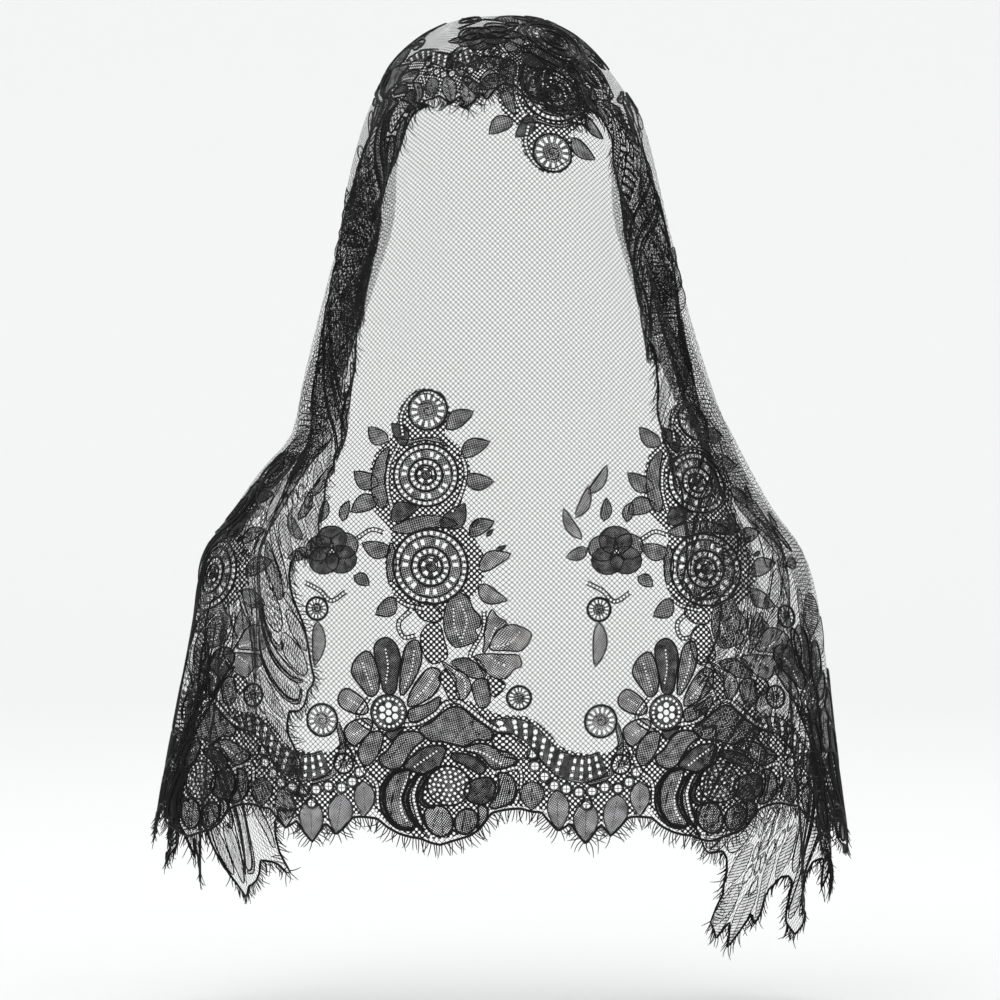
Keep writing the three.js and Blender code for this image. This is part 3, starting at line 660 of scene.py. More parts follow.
# Openings of a curl and of a medallion, in rings: outer and inner reach as shares of the radius, how
# many, and the open share of a step. The spokes of a medallion are open two in three
CURL_RING = (0.84, 0.54, 14, 0.48)
MEDALLION_RIM = (0.95, 0.86, 34, 0.5)
MEDALLION_SPOKES = (0.75, 0.6, 21, 0.5)
MEDALLION_INNER = (0.47, 0.37, 17, 0.5)
MEDALLION_EYE = (0.27, 0.16, 5, 0.45)
# Its cords and its dark middle, as shares of the radius, and the snails inside: share of the radius,
# turns
MEDALLION_CORD = 0.82
MEDALLION_INNER_CORD = 0.52
MEDALLION_MIDDLE = 0.32
MEDALLION_SNAIL = (0.3, 1.6)
CURL_SNAIL = (0.44, 1.4)
SNAIL_START = 0.4
SNAIL_POINTS_A_TURN = 10
# A pansy's petals: direction in degrees, radius as a share of the flower's, kind. Then how far out they
# lie, how round they are, the ends of the vein in each, and the opening in the middle
PANSY_PETALS = [
    (95, 0.62, "dark"), (25, 0.56, "mid"), (165, 0.56, "mid"), (-40, 0.6, "dark"), (-135, 0.6, "dark"),
]
PETAL_REACH = 1.15
PETAL_HEIGHT = 0.86
PETAL_VEIN = (0.2, 0.75)
PANSY_EYE = 0.11
# Widths of the cords, as shares of the common one
CORD = 1.0
STOUT_CORD = 1.25
THICK_CORD = 1.55
FINE_CORD = 0.75
RUNG = 0.5
RING_RUNG = 0.4

# Motifs lie this far inside the cut, the scallops of one edge end this near the other edge, and no
# repeat starts nearer than this to the end of an edge
INSIDE_BY = 1.5
EDGE_ENDS_AT = 16.0
REPEAT_ROOM = 60.0
FACE_STRIP_TO = 720.0
FACE_STRIP_STEP = 4.0
# Upper motifs are kept to this distance from the middle of the hem, and of the face edge
HEM_MOTIFS_TO = 235.0
FACE_MOTIFS_TO = 110.0
# Where the border passes out of sight: the turn from the middle of the back, and x at the face edge
HEM_SHOWN = 0.56
FACE_SHOWN = 140.0
# The kinds and the width of the cords used out of sight
FRONT_KINDS = {"coarse": None, "light": "sheer", "mid": "sheer", "dark": "light", "hole": "hole"}
FRONT_CORD = 0.55
# The grid of points in the cloth: its reach to the sides and down, its top, and how far it keeps from
# the edges
GRID_TO = 690.0
GRID_TOP = -112.0
GRID_MARGIN = 24.0
# Settings of the triangulation: keep what the loops enclose, and merge points nearer than this
KEEP_INSIDE = 1
MERGE_WITHIN = 1e-4

# How far a cord stands out of the cloth, as a share of its radius, and its corners
CORD_LIFT = 0.5
CORD_SIDES = 3
EDGE_CORD_SIDES = 4
JOINED_WITHIN = 1e-7
# Hairs of the fringe, in millimetres: the height of their feet over the cloth, and a step into the cloth
FOOT_LIFT = 0.3
STEP_IN = 3.0
# Tufts: hairs in each, how far their tips draw together, the spread of their lean, and the share of it
# that the curl takes back towards the tip
HAIRS_A_TUFT = 4
TUFT_GATHER = 0.8
TUFT_LEAN = 0.3
LEAN_BACK = 0.6
# Each hair: the spreads of its own lean and curl, the middle and spread of its rise, its least and
# greatest length, the points along it, and the radius as shares of the hair's width at three of them
HAIR_LEAN = 0.14
HAIR_CURL = 0.2
HAIR_RISE = (0.05, 0.2)
HAIR_SIZES = (0.7, 1.08)
HAIR_POINTS = 5
HAIR_TAPER = ((0, 0.7, 1), (0.5, 0.4, 0.2))


def smooth_line(points, step=LINE_STEP, closed=False):
    """A Catmull-Rom line through points, cut into even steps."""
    p = np.array(points, float)
    ends = (p[-1:], p[:2]) if closed else (2 * p[:1] - p[1:2], 2 * p[-1:] - p[-2:-1])
    q = np.concatenate([ends[0], p, ends[1]])
    t = np.linspace(0, 1, SPAN_POINTS + 1)[:-1, None]
    parts = []
    for i in range(len(q) - 3):
        a, b, c, d = q[i:i + 4]
        square = (2 * a - 5 * b + 4 * c - d) * t ** 2
        cube = (3 * b - a - 3 * c + d) * t ** 3
        parts.append(0.5 * (2 * b + (c - a) * t + square + cube))
    line = np.concatenate(parts + [q[-2:-1]])
    return even(line, step, closed)


def run_of(line):
    """The distance along a line, at each of its points."""
    return np.concatenate([[0], np.cumsum(np.linalg.norm(np.diff(line, axis=0), axis=1))])


def even(line, step, closed=False):
    """A line cut into even steps; the last point of a closed one is left out."""
    run = run_of(line)
    count = max(int(round(run[-1] / step)), 4 if closed else 1)
    at = np.linspace(0, run[-1], count + 1)
    out = np.stack([np.interp(at, run, line[:, k]) for k in range(2)], 1)
    return out[:-1] if closed else out


def ring(x, y, rx, ry=None, count=12):
    angle = np.linspace(0, 2 * math.pi, count + 1)[:-1]
    return np.stack([x + rx * np.cos(angle), y + (ry or rx) * np.sin(angle)], 1)


def close(line):
    """A line with its first point once more at the end."""
    return np.concatenate([line, line[:1]])


def normals_of(line):
    """Directions square to a line, to the left of its way."""
    d = unit(np.gradient(line, axis=0))
    return np.stack([-d[:, 1], d[:, 0]], 1)


class Chart:
    """Areas of cloth and the cords on them, of one repeat."""

    def __init__(self):
        self.areas = []
        self.cords = []

    def area(self, kind, loop, cord=CORD):
        loop = np.asarray(loop, float)
        self.areas.append((kind, loop))
        if cord:
            self.cords.append((close(loop), cord))

    def cord(self, line, radius):
        self.cords.append((np.asarray(line, float), radius))

    def form(self, kind, corners, cord=CORD):
        self.area(kind, smooth_line(corners, closed=True), cord)

    def leaf(self, foot_x, foot_y, tip_x, tip_y, width, bend, kind):
        foot, tip = np.array([foot_x, foot_y], float), np.array([tip_x, tip_y], float)
        length = np.linalg.norm(tip - foot)
        axis = (tip - foot) / length
        side = np.array([-axis[1], axis[0]])
        t = np.linspace(0, 1, max(int(length / LEAF_STEP), 5) + 1)
        half = width / 2 * np.sin(math.pi * t ** LEAF_SHIFT) ** LEAF_FULLNESS
        middle = foot + np.outer(t * length, axis) + np.outer(bend * np.sin(math.pi * t), side)
        one = middle + side * half[:, None]
        other = middle - side * half[:, None]
        self.area(kind, np.concatenate([one, other[-2:0:-1]]))

    def dots(self, size, spacing, line):
        """A row of openings along a line."""
        for x, y in even(smooth_line(line, FINE_STEP), spacing):
            self.area("hole", ring(x, y, size / 2, count=6), 0)

    def beaded(self, width, size, spacing, line):
        """A row of openings between two cords."""
        middle = smooth_line(line)
        side = normals_of(middle) * width / 2
        self.area("mid", np.concatenate([middle + side, (middle - side)[::-1]]), 0)
        self.cord(middle + side, FINE_CORD)
        self.cord(middle - side, FINE_CORD)
        self.dots(size, spacing, line)

    def band(self, kind, widths, line):
        """A band that swells from its first width to the next and narrows to the last."""
        middle = smooth_line(line)
        t = np.linspace(0, 1, len(middle))
        half = np.interp(t, [0, 0.5, 1], widths) / 2
        side = normals_of(middle)
        one, other = middle + side * half[:, None], middle - side * half[:, None]
        self.area(kind, np.concatenate([one, other[::-1]]), THICK_CORD if kind == "dark" else CORD)

    def ladder(self, count, filled, one, other):
        """Cells between two lines: every so many is filled, and the others have openings in a row."""
        a, b = smooth_line(one, FINE_STEP), smooth_line(other, FINE_STEP)
        at_a, at_b = np.linspace(0, len(a) - 1, count + 1), np.linspace(0, len(b) - 1, count + 1)

        def corner(line, at):
            i = min(int(at), len(line) - 2)
            return line[i] + (line[i + 1] - line[i]) * (at - i)

        self.cord(even(a, LINE_STEP), CORD)
        self.cord(even(b, LINE_STEP), CORD)
        self.area("mid", np.concatenate([even(a, LINE_STEP), even(b, LINE_STEP)[::-1]]), 0)
        for i in range(count):
            one_side = [corner(a, at_a[i]), corner(a, at_a[i + 1])]
            corners = one_side + [corner(b, at_b[i + 1]), corner(b, at_b[i])]
            if i % filled == 0:
                middle = sum(corners) / 4
                self.area("dark", [middle + (c - middle) * LADDER_FILL for c in corners], 0)
                continue
            top, low = (corners[0] + corners[1]) / 2, (corners[2] + corners[3]) / 2
            holes = 3 if np.linalg.norm(top - low) > WIDE_LADDER else 2
            for k in range(holes):
                at = top + (low - top) * (k + LADDER_FIRST_ROW) / (holes + 0.5)
                self.area("hole", ring(*at, LADDER_HOLE * LADDER_HOLE_SIZES[k], count=7), 0)
        for i in range(count + 1):
            self.cord([corner(a, at_a[i]), corner(b, at_b[i])], RUNG)

    def small_ring(self, x, y):
        self.area("dark", ring(x, y, RING_OUTER), FINE_CORD)
        self.area("hole", ring(x, y, RING_INNER, count=8), 0)
        self.area("mid", ring(x, y, RING_EYE, count=6), 0)
        self.cord([(x - RING_INNER, y), (x + RING_INNER, y)], RING_RUNG)
        self.cord([(x, y - RING_INNER), (x, y + RING_INNER)], RING_RUNG)

    def windows(self, x, y, radius, openings, steps=None):
        """A ring of four sided openings round a point, all of them or those at some steps."""
        rim, eye, count, share = openings
        for k in range(count) if steps is None else steps:
            a = 2 * math.pi * k / count
            b = a + 2 * math.pi / count * share
            corners = [(rim, a), (rim, b), (eye, b), (eye, a)]
            loop = [(x + radius * r * math.cos(w), y + radius * r * math.sin(w)) for r, w in corners]
            self.area("hole", loop, 0)

    def snail(self, x, y, radius, turns, cord):
        angles = np.linspace(0, turns * 2 * math.pi, int(turns * SNAIL_POINTS_A_TURN))
        reach = np.linspace(SNAIL_START, radius, len(angles))
        self.cord(np.stack([x + reach * np.cos(angles), y + reach * np.sin(angles)], 1), cord)

    def curl(self, x, y, radius, kind):
        self.area(kind, ring(x, y, radius, count=18), THICK_CORD)
        self.windows(x, y, radius, CURL_RING)
        share, turns = CURL_SNAIL
        self.snail(x, y, radius * share, turns, FINE_CORD)

    def heart(self, x, y, rx, ry):
        """The middle of the rose: openings thrown round its eye."""
        self.area("dark", ring(x, y, rx, ry, count=20), THICK_CORD)
        for row, (share, count) in enumerate(HEART_RINGS):
            for k in range(count):
                a = 2 * math.pi * (k + HEART_TWIST * row) / count
                at = (x + share * rx * math.cos(a), y + share * ry * math.sin(a))
                self.area("hole", ring(*at, HEART_HOLE, count=6), 0)

    def daisy_eye(self, x, y, radius):
        self.area("dark", ring(x, y, radius, count=20), CORD)
        for reach, count, start, size, corners in DAISY_HOLES:
            for k in range(count):
                a = 2 * math.pi * (k + start) / count
                at = (x + reach * math.cos(a), y + reach * math.sin(a))
                self.area("hole", ring(*at, size, count=corners), 0)

    def medallion(self, x, y, radius):
        """A wheel with rings of openings, and a snail in its eye."""
        self.area("mid", ring(x, y, radius, count=28), THICK_CORD)
        self.windows(x, y, radius, MEDALLION_RIM)
        self.cord(close(ring(x, y, radius * MEDALLION_CORD, count=24)), CORD)
        self.windows(x, y, radius, MEDALLION_SPOKES, [k for k in range(MEDALLION_SPOKES[2]) if k % 3 < 2])
        self.cord(close(ring(x, y, radius * MEDALLION_INNER_CORD, count=20)), THICK_CORD)
        self.windows(x, y, radius, MEDALLION_INNER)
        self.area("dark", ring(x, y, radius * MEDALLION_MIDDLE, count=14), CORD)
        self.windows(x, y, radius, MEDALLION_EYE)
        share, turns = MEDALLION_SNAIL
        self.snail(x, y, radius * share, turns, CORD)

    def pansy(self, x, y, radius):
        for angle, share, kind in PANSY_PETALS:
            c, s = math.cos(math.radians(angle)), math.sin(math.radians(angle))
            size = radius * share
            reach = (radius - size) * PETAL_REACH
            petal = ring(x + reach * c, y + reach * s, size, size * PETAL_HEIGHT, 14)
            self.area(kind, petal)
            self.cord([(x + r * radius * c, y + r * radius * s) for r in PETAL_VEIN], RUNG)
        self.area("hole", ring(x, y, radius * PANSY_EYE, count=8), RUNG)


def border_chart():
    """The border: rose, daisy, curls, ladders and edge leaves."""
    chart = Chart()
    chart.form("coarse", GROUND, 0)
    for kind, corners in DAISY_PETALS:
        chart.form(kind, corners, STOUT_CORD)
    for kind, corners in ROSE:
        chart.form(kind, corners, THICK_CORD)
    chart.form("coarse", SWAG_COARSE)
    for row in EDGE_LEAVES:
        chart.leaf(*row)
    for row in LADDERS:
        chart.ladder(*row)
    for row in BANDS:
        chart.band(*row)
    chart.heart(*ROSE_HEART)
    chart.daisy_eye(*DAISY)
    for row in CURLS:
        chart.curl(*row)
    for row in BEADED:
        chart.beaded(*row)
    for row in DOT_ROWS:
        chart.dots(*row)
    for line in VEINS:
        chart.cord(smooth_line(line), RUNG)
    for row in RINGS:
        chart.small_ring(*row)
    return chart


def upper_charts():
    """The motifs above the border, each with its own middle, so that it keeps its shape."""
    charts = []

    def single(x, y):
        chart = Chart()
        charts.append((x, y, chart))
        return chart

    spray = single(20, 122)
    for kind, corners in SPRAY:
        spray.form(kind, corners)
    for corners in SPRAY_COARSE:
        spray.form("coarse", corners)
    spray.beaded(*SPRAY_BEADED)
    for row in SPRAY_DOTS:
        spray.dots(*row)
    for row in SPRIGS:
        single((row[0] + row[2]) / 2, (row[1] + row[3]) / 2).leaf(*row)
    for row in UPPER_BEADED:
        single(*np.mean(row[3], 0)).beaded(*row)
    cluster = single(-10, 210)
    cluster.form("coarse", CLUSTER_GROUND, 0)
    for corners in CLUSTER_FILLS:
        cluster.form("mid", corners)
    for x, y, radius in MEDALLIONS:
        cluster.medallion(x, y, radius)
    for row in CLUSTER_BEADED:
        cluster.beaded(*row)
    cluster.curl(*CLUSTER_CURL)
    for row in CLUSTER_LEAVES:
        cluster.leaf(*row)
    for x, y, radius in PANSIES:
        single(x, y).pansy(x, y, radius)
    for x, y, radius in BUDS:
        single(x, y).curl(x, y, radius, "mid")
    for x, y, turn in SEEDS:
        across = SEED_HALF * math.cos(math.radians(turn))
        up = SEED_HALF * math.sin(math.radians(turn))
        single(x, y).leaf(x - across, y - up, x + across, y + up, SEED_WIDTH, 0, "dark")
    return charts


def within(loop, points):
    """Which of the points lie inside a closed line."""
    a, b = loop, np.roll(loop, -1, axis=0)
    x, y = points[:, :1], points[:, 1:]
    crosses = (a[:, 1] > y) != (b[:, 1] > y)
    rise = b[:, 1] - a[:, 1]
    rise = np.where(np.abs(rise) < TINY, TINY, rise)
    at = a[:, 0] + (y - a[:, 1]) / rise * (b[:, 0] - a[:, 0])
    return (crosses & (x < at)).sum(1) % 2 == 1


def turn_of(a, b):
    """Positive where b points to the left of a."""
    return a[..., 0] * b[..., 1] - a[..., 1] * b[..., 0]


def area_of(loop):
    """The area in a closed line, below zero if the line runs clockwise."""
    return np.sum(turn_of(loop, np.roll(loop, -1, axis=0))) / 2


def untangle(loop):
    """Cuts off the small tail where the ends of a closed line cross."""
    start, span = loop, np.roll(loop, -1, axis=0) - loop
    for i in range(len(loop) // 2):
        one = turn_of(span[i], start - start[i]) * turn_of(span[i], start + span - start[i])
        other = turn_of(span, start[i] - start) * turn_of(span, start[i] + span[i] - start)
        for j in np.nonzero((one < 0) & (other < 0))[0]:
            if j - i > len(loop) / 2:
                return untangle(loop[i + 1:j + 1])
            return untangle(np.concatenate([loop[:i + 1], loop[j + 1:]]))
    return loop


class Strip:
    """A line of the flat cut with measures along it and square to it, into the cloth."""

    def __init__(self, line):
        zero = len(line) // 2
        run = run_of(line)
        self.run = run - run[zero]
        self.line = line
        self.inward = -normals_of(line)
        if np.sum((CUT_MIDDLE - line[zero]) * self.inward[zero]) < 0:
            self.inward = -self.inward

    def read(self, along, values):
        return np.stack([np.interp(along, self.run, column) for column in values.T], -1)

    def point(self, points, shift=0.0):
        """Where points given along and up lie in the cut, with the start moved along by shift."""
        p = np.asarray(points, float) + (shift, 0)
        return self.read(p[:, 0], self.line) + self.read(p[:, 0], self.inward) * p[:, 1:2]

    def rigid(self, points, x, y, shift):
        """The same, but keeping the shape of a motif with its middle at x, y."""
        p = np.asarray(points, float) + (shift, 0) - (x, y)
        here = self.point([(x, y)])[0]
        into = self.read(x, self.inward)
        ahead = unit(self.point([(x + 1, 0)])[0] - self.point([(x - 1, 0)])[0])
        ahead -= into * np.dot(ahead, into)
        return here + p[:, :1] * ahead + p[:, 1:] * into


class Layout:
    """The whole cut: its outline, its areas and its cords, all in flat measures."""

    def __init__(self, drape):
        self.drape = drape
        hem = drape.hem_curve()
        self.hem_radius = np.hypot(hem[:, 0], hem[:, 1])
        self.hem = Strip(hem)
        x = np.arange(-FACE_STRIP_TO, FACE_STRIP_TO + 1, FACE_STRIP_STEP)
        self.face = Strip(np.stack([x, face_line(x)], 1))
        self.areas = []
        self.cords = {"hem": [], "face": [], "upper": []}
        self.edges = [self.scallops(self.hem, FIRST_ROSE), self.scallops(self.face, FACE_OFFSET)]
        self._outline()
        self._motifs()

    def from_hem(self, flat):
        """Distance inside the hem line."""
        r, turn = self.drape.polar(flat)
        return np.interp(turn, self.drape.turns, self.hem_radius) - r

    @staticmethod
    def from_face(flat):
        """Distance inside the face line."""
        return (flat[:, 1] - face_line(flat[:, 0])) / np.hypot(1, face_slope(flat[:, 0]))

    @staticmethod
    def scallops(strip, first):
        """The scalloped edge along a strip, with its first repeat at first."""
        along = [(first + k * REPEAT + c, up) for k in REPEATS for c, up in EDGE]
        along = [p for p in along if strip.run[0] < p[0] < strip.run[-1]]
        return strip.point(even(np.array(along), EDGE_STEP))

    def _outline(self):
        hem, face = self.edges
        hem = hem[self.from_face(hem) > EDGE_ENDS_AT]
        face = face[self.from_hem(face) > EDGE_ENDS_AT]
        self.outline = untangle(np.concatenate([hem, face[::-1]]))

    def inside(self, flat, margin):
        """Which points lie further than a margin inside both edges."""
        return (self.from_hem(flat) > margin) & (self.from_face(flat) > margin)

    def _add(self, chart, move, group, by_hem):
        """Lays a chart. Where the cloth hangs in front, out of sight, its lace is plainer."""
        for kind, loop in chart.areas:
            flat = move(loop)
            if not self._own(flat, by_hem):
                continue
            if self._in_front(flat, by_hem):
                kind = FRONT_KINDS[kind]
            if kind:
                self.areas.append((kind, flat))
        for line, share in chart.cords:
            flat = move(line)
            if self._own(flat, by_hem):
                thin = FRONT_CORD if self._in_front(flat, by_hem) else 1.0
                self.cords[group].append((flat, share * thin))

    @staticmethod
    def _in_front(flat, by_hem):
        x, y = flat.mean(0)
        return abs(math.atan2(x, y)) > HEM_SHOWN if by_hem else abs(x) > FACE_SHOWN

    def _own(self, flat, by_hem):
        """Whether a motif lies in the cut and belongs to this edge, the nearer one."""
        if not self.inside(flat, INSIDE_BY).all():
            return False
        middle = flat.mean(0, keepdims=True)
        nearer = self.from_hem(middle)[0] < self.from_face(middle)[0]
        return nearer == by_hem

    def _motifs(self):
        border, uppers = border_chart(), upper_charts()
        rows = (
            (self.hem, FIRST_ROSE, "hem", HEM_MOTIFS_TO),
            (self.face, FACE_OFFSET, "face", FACE_MOTIFS_TO),
        )
        for strip, first, group, motifs_to in rows:
            by_hem = group == "hem"
            for k in REPEATS:
                shift = first + k * REPEAT
                if not strip.run[0] + REPEAT_ROOM < shift < strip.run[-1] - REPEAT_ROOM:
                    continue
                self._add(border, functools.partial(strip.point, shift=shift), group, by_hem)
                for x, y, chart in uppers:
                    at = x + shift
                    if abs(at) <= motifs_to:
                        move = functools.partial(strip.rigid, x=at, y=y, shift=shift)
                        self._add(chart, move, "upper", by_hem)

    def cut(self, pitch):
        """Triangles of the cloth in the flat, with the kind of each."""
        points, loops = [], []
        for loop in [self.outline] + [loop for _, loop in self.areas]:
            loop = loop if area_of(loop) > 0 else loop[::-1]
            loops.append(list(range(len(points), len(points) + len(loop))))
            points.extend(Vector(p) for p in loop)
        gx, gy = np.meshgrid(np.arange(-GRID_TO, GRID_TO, pitch), np.arange(GRID_TOP, GRID_TO, pitch))
        grid = np.stack([gx.ravel(), gy.ravel()], 1)
        points.extend(Vector(p) for p in grid[self.inside(grid, GRID_MARGIN)])
        found = delaunay_2d_cdt(points, [], loops, KEEP_INSIDE, MERGE_WITHIN)
        verts, _, faces, _, _, origins = found
        verts = np.array([v[:] for v in verts])
        faces = np.array([face[::-1] for face, origin in zip(faces, origins) if 0 in origin])
        middles = verts[faces].mean(1)
        order = np.argsort(middles[:, 0])
        sorted_x = middles[order, 0]
        kinds = np.zeros(len(faces), int)
        for kind, loop in self.areas:
            low, high = loop.min(0), loop.max(0)
            first, last = np.searchsorted(sorted_x, (low[0], high[0]))
            near = order[first:last]
            near = near[(middles[near, 1] > low[1]) & (middles[near, 1] < high[1])]
            near = near[within(loop, middles[near])]
            kinds[near] = np.maximum(kinds[near], KINDS.index(kind))
        kept = kinds < KINDS.index("hole")
        return verts, faces[kept], kinds[kept]


def make_object(name, points, faces, materials, kinds=None, flat=None):
    """A mesh object of the points that its faces use. Kinds choose materials, the flat cut is the UV."""
    points, faces = np.asarray(points, np.float32), np.asarray(faces, np.int32)
    used = np.zeros(len(points), bool)
    used[faces.ravel()] = True
    index = np.cumsum(used) - 1
    points, faces = points[used], index[faces]
    mesh = bpy.data.meshes.new(name)
    corners = faces.shape[1]
    mesh.vertices.add(len(points))
    mesh.vertices.foreach_set("co", points.ravel())
    mesh.loops.add(faces.size)
    mesh.loops.foreach_set("vertex_index", faces.ravel())
    mesh.polygons.add(len(faces))
    mesh.polygons.foreach_set("loop_start", np.arange(0, faces.size, corners))
    for material in materials:
        mesh.materials.append(material)
    if kinds is not None:
        mesh.polygons.foreach_set("material_index", kinds)
    mesh.update(calc_edges=True)
    mesh.validate()
    mesh.shade_smooth()
    if flat is not None:
        uv = mesh.uv_layers.new(name="flat_mm")
        flat = flat[used]
        order = np.zeros(len(mesh.loops), np.int32)
        mesh.loops.foreach_get("vertex_index", order)
        uv.data.foreach_set("uv", flat[order].astype(np.float32).ravel())
    obj = bpy.data.objects.new(name, mesh)
    bpy.context.scene.collection.objects.link(obj)
    return obj


def tubes(lines, radii, normals, sides):
    """Round strands along lines of 3-D points; radii per point, in metres."""
    counts = np.array([len(line) for line in lines])
    points = np.concatenate(lines)
    normal = np.concatenate(normals)
    radius = np.concatenate(radii)[:, None]
    start = np.repeat(np.cumsum(counts) - counts, counts)
    end = np.repeat(np.cumsum(counts) - 1, counts)
    at = np.arange(len(points))
    before, after = np.maximum(at - 1, start), np.minimum(at + 1, end)
    closed = np.linalg.norm(points[start] - points[end], axis=1) < JOINED_WITHIN
    before = np.where(closed & (at == start), end - 1, before)
    after = np.where(closed & (at == end), start + 1, after)
    along = unit(points[after] - points[before])
    side = unit(np.cross(along, normal))
    up = np.cross(side, along)
    angles = 2 * math.pi * np.arange(sides) / sides + math.pi / 2
    rings = np.stack([points + radius * (math.cos(a) * side + math.sin(a) * up) for a in angles], 1)
    here = at[at < end] * sides
    there = here + sides
    quads = []
    for k in range(sides):
        n = (k + 1) % sides
        quads.append(np.stack([here + k, there + k, there + n, here + n], 1))
    return rings.reshape(-1, 3), np.concatenate(quads)


def lay_cord(name, cords, width, material, sides=CORD_SIDES):
    """Cords stitched on the cloth, each with its share of a width in metres."""
    drape = laid_out()[0]
    flat = np.concatenate([line for line, _ in cords])
    radius = np.concatenate([np.full(len(line), share) for line, share in cords]) * width / 2
    points = drape.place(flat, radius / MM * CORD_LIFT)
    at = np.cumsum([len(line) for line, _ in cords])[:-1]
    lines, normals, radii = np.split(points, at), np.split(drape.out(flat), at), np.split(radius, at)
    return make_object(name, *tubes(lines, radii, normals, sides), [material])


def tie_fringe(name, edge, spacing, length, width, material, seed):
    """Curved hairs that stand off an edge in small tufts. Spacing, length and width in metres."""
    drape = laid_out()[0]
    rng = np.random.default_rng(seed)
    line = even(edge, spacing / MM)
    into = normals_of(line)
    away = np.hypot(*(line - CUT_MIDDLE).T)
    outward = np.hypot(*(line + into * STEP_IN - CUT_MIDDLE).T) > away
    into[outward] *= -1
    foot = drape.place(line, FOOT_LIFT)
    out = unit(foot - drape.place(line + into * STEP_IN, FOOT_LIFT))
    normal = drape.out(line)
    side = np.cross(out, normal)
    count = len(line)
    tuft = np.arange(count) // HAIRS_A_TUFT
    from_middle = (HAIRS_A_TUFT - 1) / 2 - np.arange(count) % HAIRS_A_TUFT
    tuft_lean = rng.normal(0, TUFT_LEAN, tuft[-1] + 1)[tuft]
    lean = tuft_lean + rng.normal(0, HAIR_LEAN, count)
    gather = from_middle * spacing / length * TUFT_GATHER
    curl = gather + rng.normal(0, HAIR_CURL, count) - LEAN_BACK * tuft_lean
    rise = rng.normal(*HAIR_RISE, count)
    size = length * rng.uniform(*HAIR_SIZES, count)
    t = np.linspace(0, 1, HAIR_POINTS)
    lines = []
    for i in range(count):
        bend = lean[i] * t + curl[i] * t * t
        reach = np.outer(t, out[i]) + np.outer(bend, side[i]) + np.outer(rise[i] * t * t, normal[i])
        lines.append(foot[i] + size[i] * reach)
    radii = [np.interp(t, *HAIR_TAPER) * width] * count
    normals = [np.repeat(normal[i:i + 1], len(t), 0) for i in range(count)]
    return make_object(name, *tubes(lines, radii, normals, CORD_SIDES), [material])


@functools.lru_cache(maxsize=1)
def laid_out():
    """The drape and the cut laid on it, worked out once for all the operators."""
    drape = Drape()
    return drape, Layout(drape)


def to_linear(code):
    """A colour given as six sRGB digits, as linear red, green, blue and 1."""
    parts = [int(code[i:i + 2], 16) / 255 for i in (0, 2, 4)]
    return [c / 12.92 if c <= 0.04045 else ((c + 0.055) / 1.055) ** 2.4 for c in parts] + [1.0]


def add_node(tree, kind, inputs=None, **settings):
    """Adds a node; an input is a value, or a node whose first output is linked to it."""
    made = tree.nodes.new(kind)
    for name, value in settings.items():
        setattr(made, name, value)
    for name, value in (inputs or {}).items():
        if isinstance(value, bpy.types.Node):
            tree.links.new(value.outputs[0], made.inputs[name])
        elif isinstance(value, bpy.types.NodeSocket):
            tree.links.new(value, made.inputs[name])
        else:
            made.inputs[name].default_value = value
    return made


# Dyed threads shade one another, so they shine less than a smooth surface of the same stuff
THREAD_SHINE = 0.2
SHEEN_ROUGHNESS = 0.4
# The threads of the net and the openings of the border's ground, as shares of a mesh. Weaves on their
# corners
NET_SHARE = 0.14
HOLE_REACH = 0.33
ON_CORNERS = math.pi / 4
# The clouds of closer and looser weave in a filling: their scale, the noise between which they run, and
# how much less and more of a petal is thread in them
CLOUD_SCALE = 0.16
CLOUD_NOISE = (0.3, 0.7)
CLOUD_LESS = 0.16
CLOUD_MORE = 0.12
# Each filling's material, distance of its threads in metres, share covered by each set of them, turn
FILLINGS = {
    "sheer": ("sheer_filling", 0.0013, 0.3, 0.4),
    "light": ("open_filling", 0.0012, 0.52, 0.6),
    "mid": ("close_filling", 0.0011, 0.62, 0.2),
    "dark": ("dense_filling", 0.001, 0.78, 0.9),
}
# Twists of the cord and marks of the paint roller, in a metre
TWISTS = 900.0
ROLLER_MARKS = 220.0


def new_material(name, colour, roughness, sheen=0.0):
    material = bpy.data.materials.new(name)
    material.use_nodes = True
    shader = material.node_tree.nodes["Principled BSDF"]
    shader.inputs["Base Color"].default_value = colour
    shader.inputs["Roughness"].default_value = roughness
    shader.inputs["Specular IOR Level"].default_value = THREAD_SHINE
    shader.inputs["Sheen Weight"].default_value = sheen
    shader.inputs["Sheen Roughness"].default_value = SHEEN_ROUGHNESS
    return material, material.node_tree, shader


def thread_sets(tree, pitch, share, turn):
    """Where the threads of a weave lie: two crossing sets, a pitch apart, each covering a share of it."""
    uv = add_node(tree, "ShaderNodeUVMap", uv_map="flat_mm")
    sets = []
    for angle in (turn, turn + math.pi / 2):
        axis = (math.cos(angle) * MM / pitch, math.sin(angle) * MM / pitch, 0)
        run = add_node(tree, "ShaderNodeVectorMath", {0: uv, 1: axis}, operation="DOT_PRODUCT")
        part = add_node(tree, "ShaderNodeMath", {0: run.outputs["Value"]}, operation="FRACT")
        sets.append(add_node(tree, "ShaderNodeMath", {0: part, 1: share}, operation="LESS_THAN"))
    return add_node(tree, "ShaderNodeMath", {0: sets[0], 1: sets[1]}, operation="MAXIMUM")


def bobbin_net(colour, pitch):
    """Machine made viscose tulle: thin round threads crossing in square meshes on their corners.

    The eye sees a fine dark lattice with the ground clear between. The real mesh of 1.9 mm is drawn a
    little wider, because it is hardly three points of the picture."""
    material, tree, shader = new_material("tulle_net", colour, roughness=0.7)
    solid = thread_sets(tree, pitch, NET_SHARE, ON_CORNERS)
    tree.links.new(solid.outputs[0], shader.inputs["Alpha"])
    return material


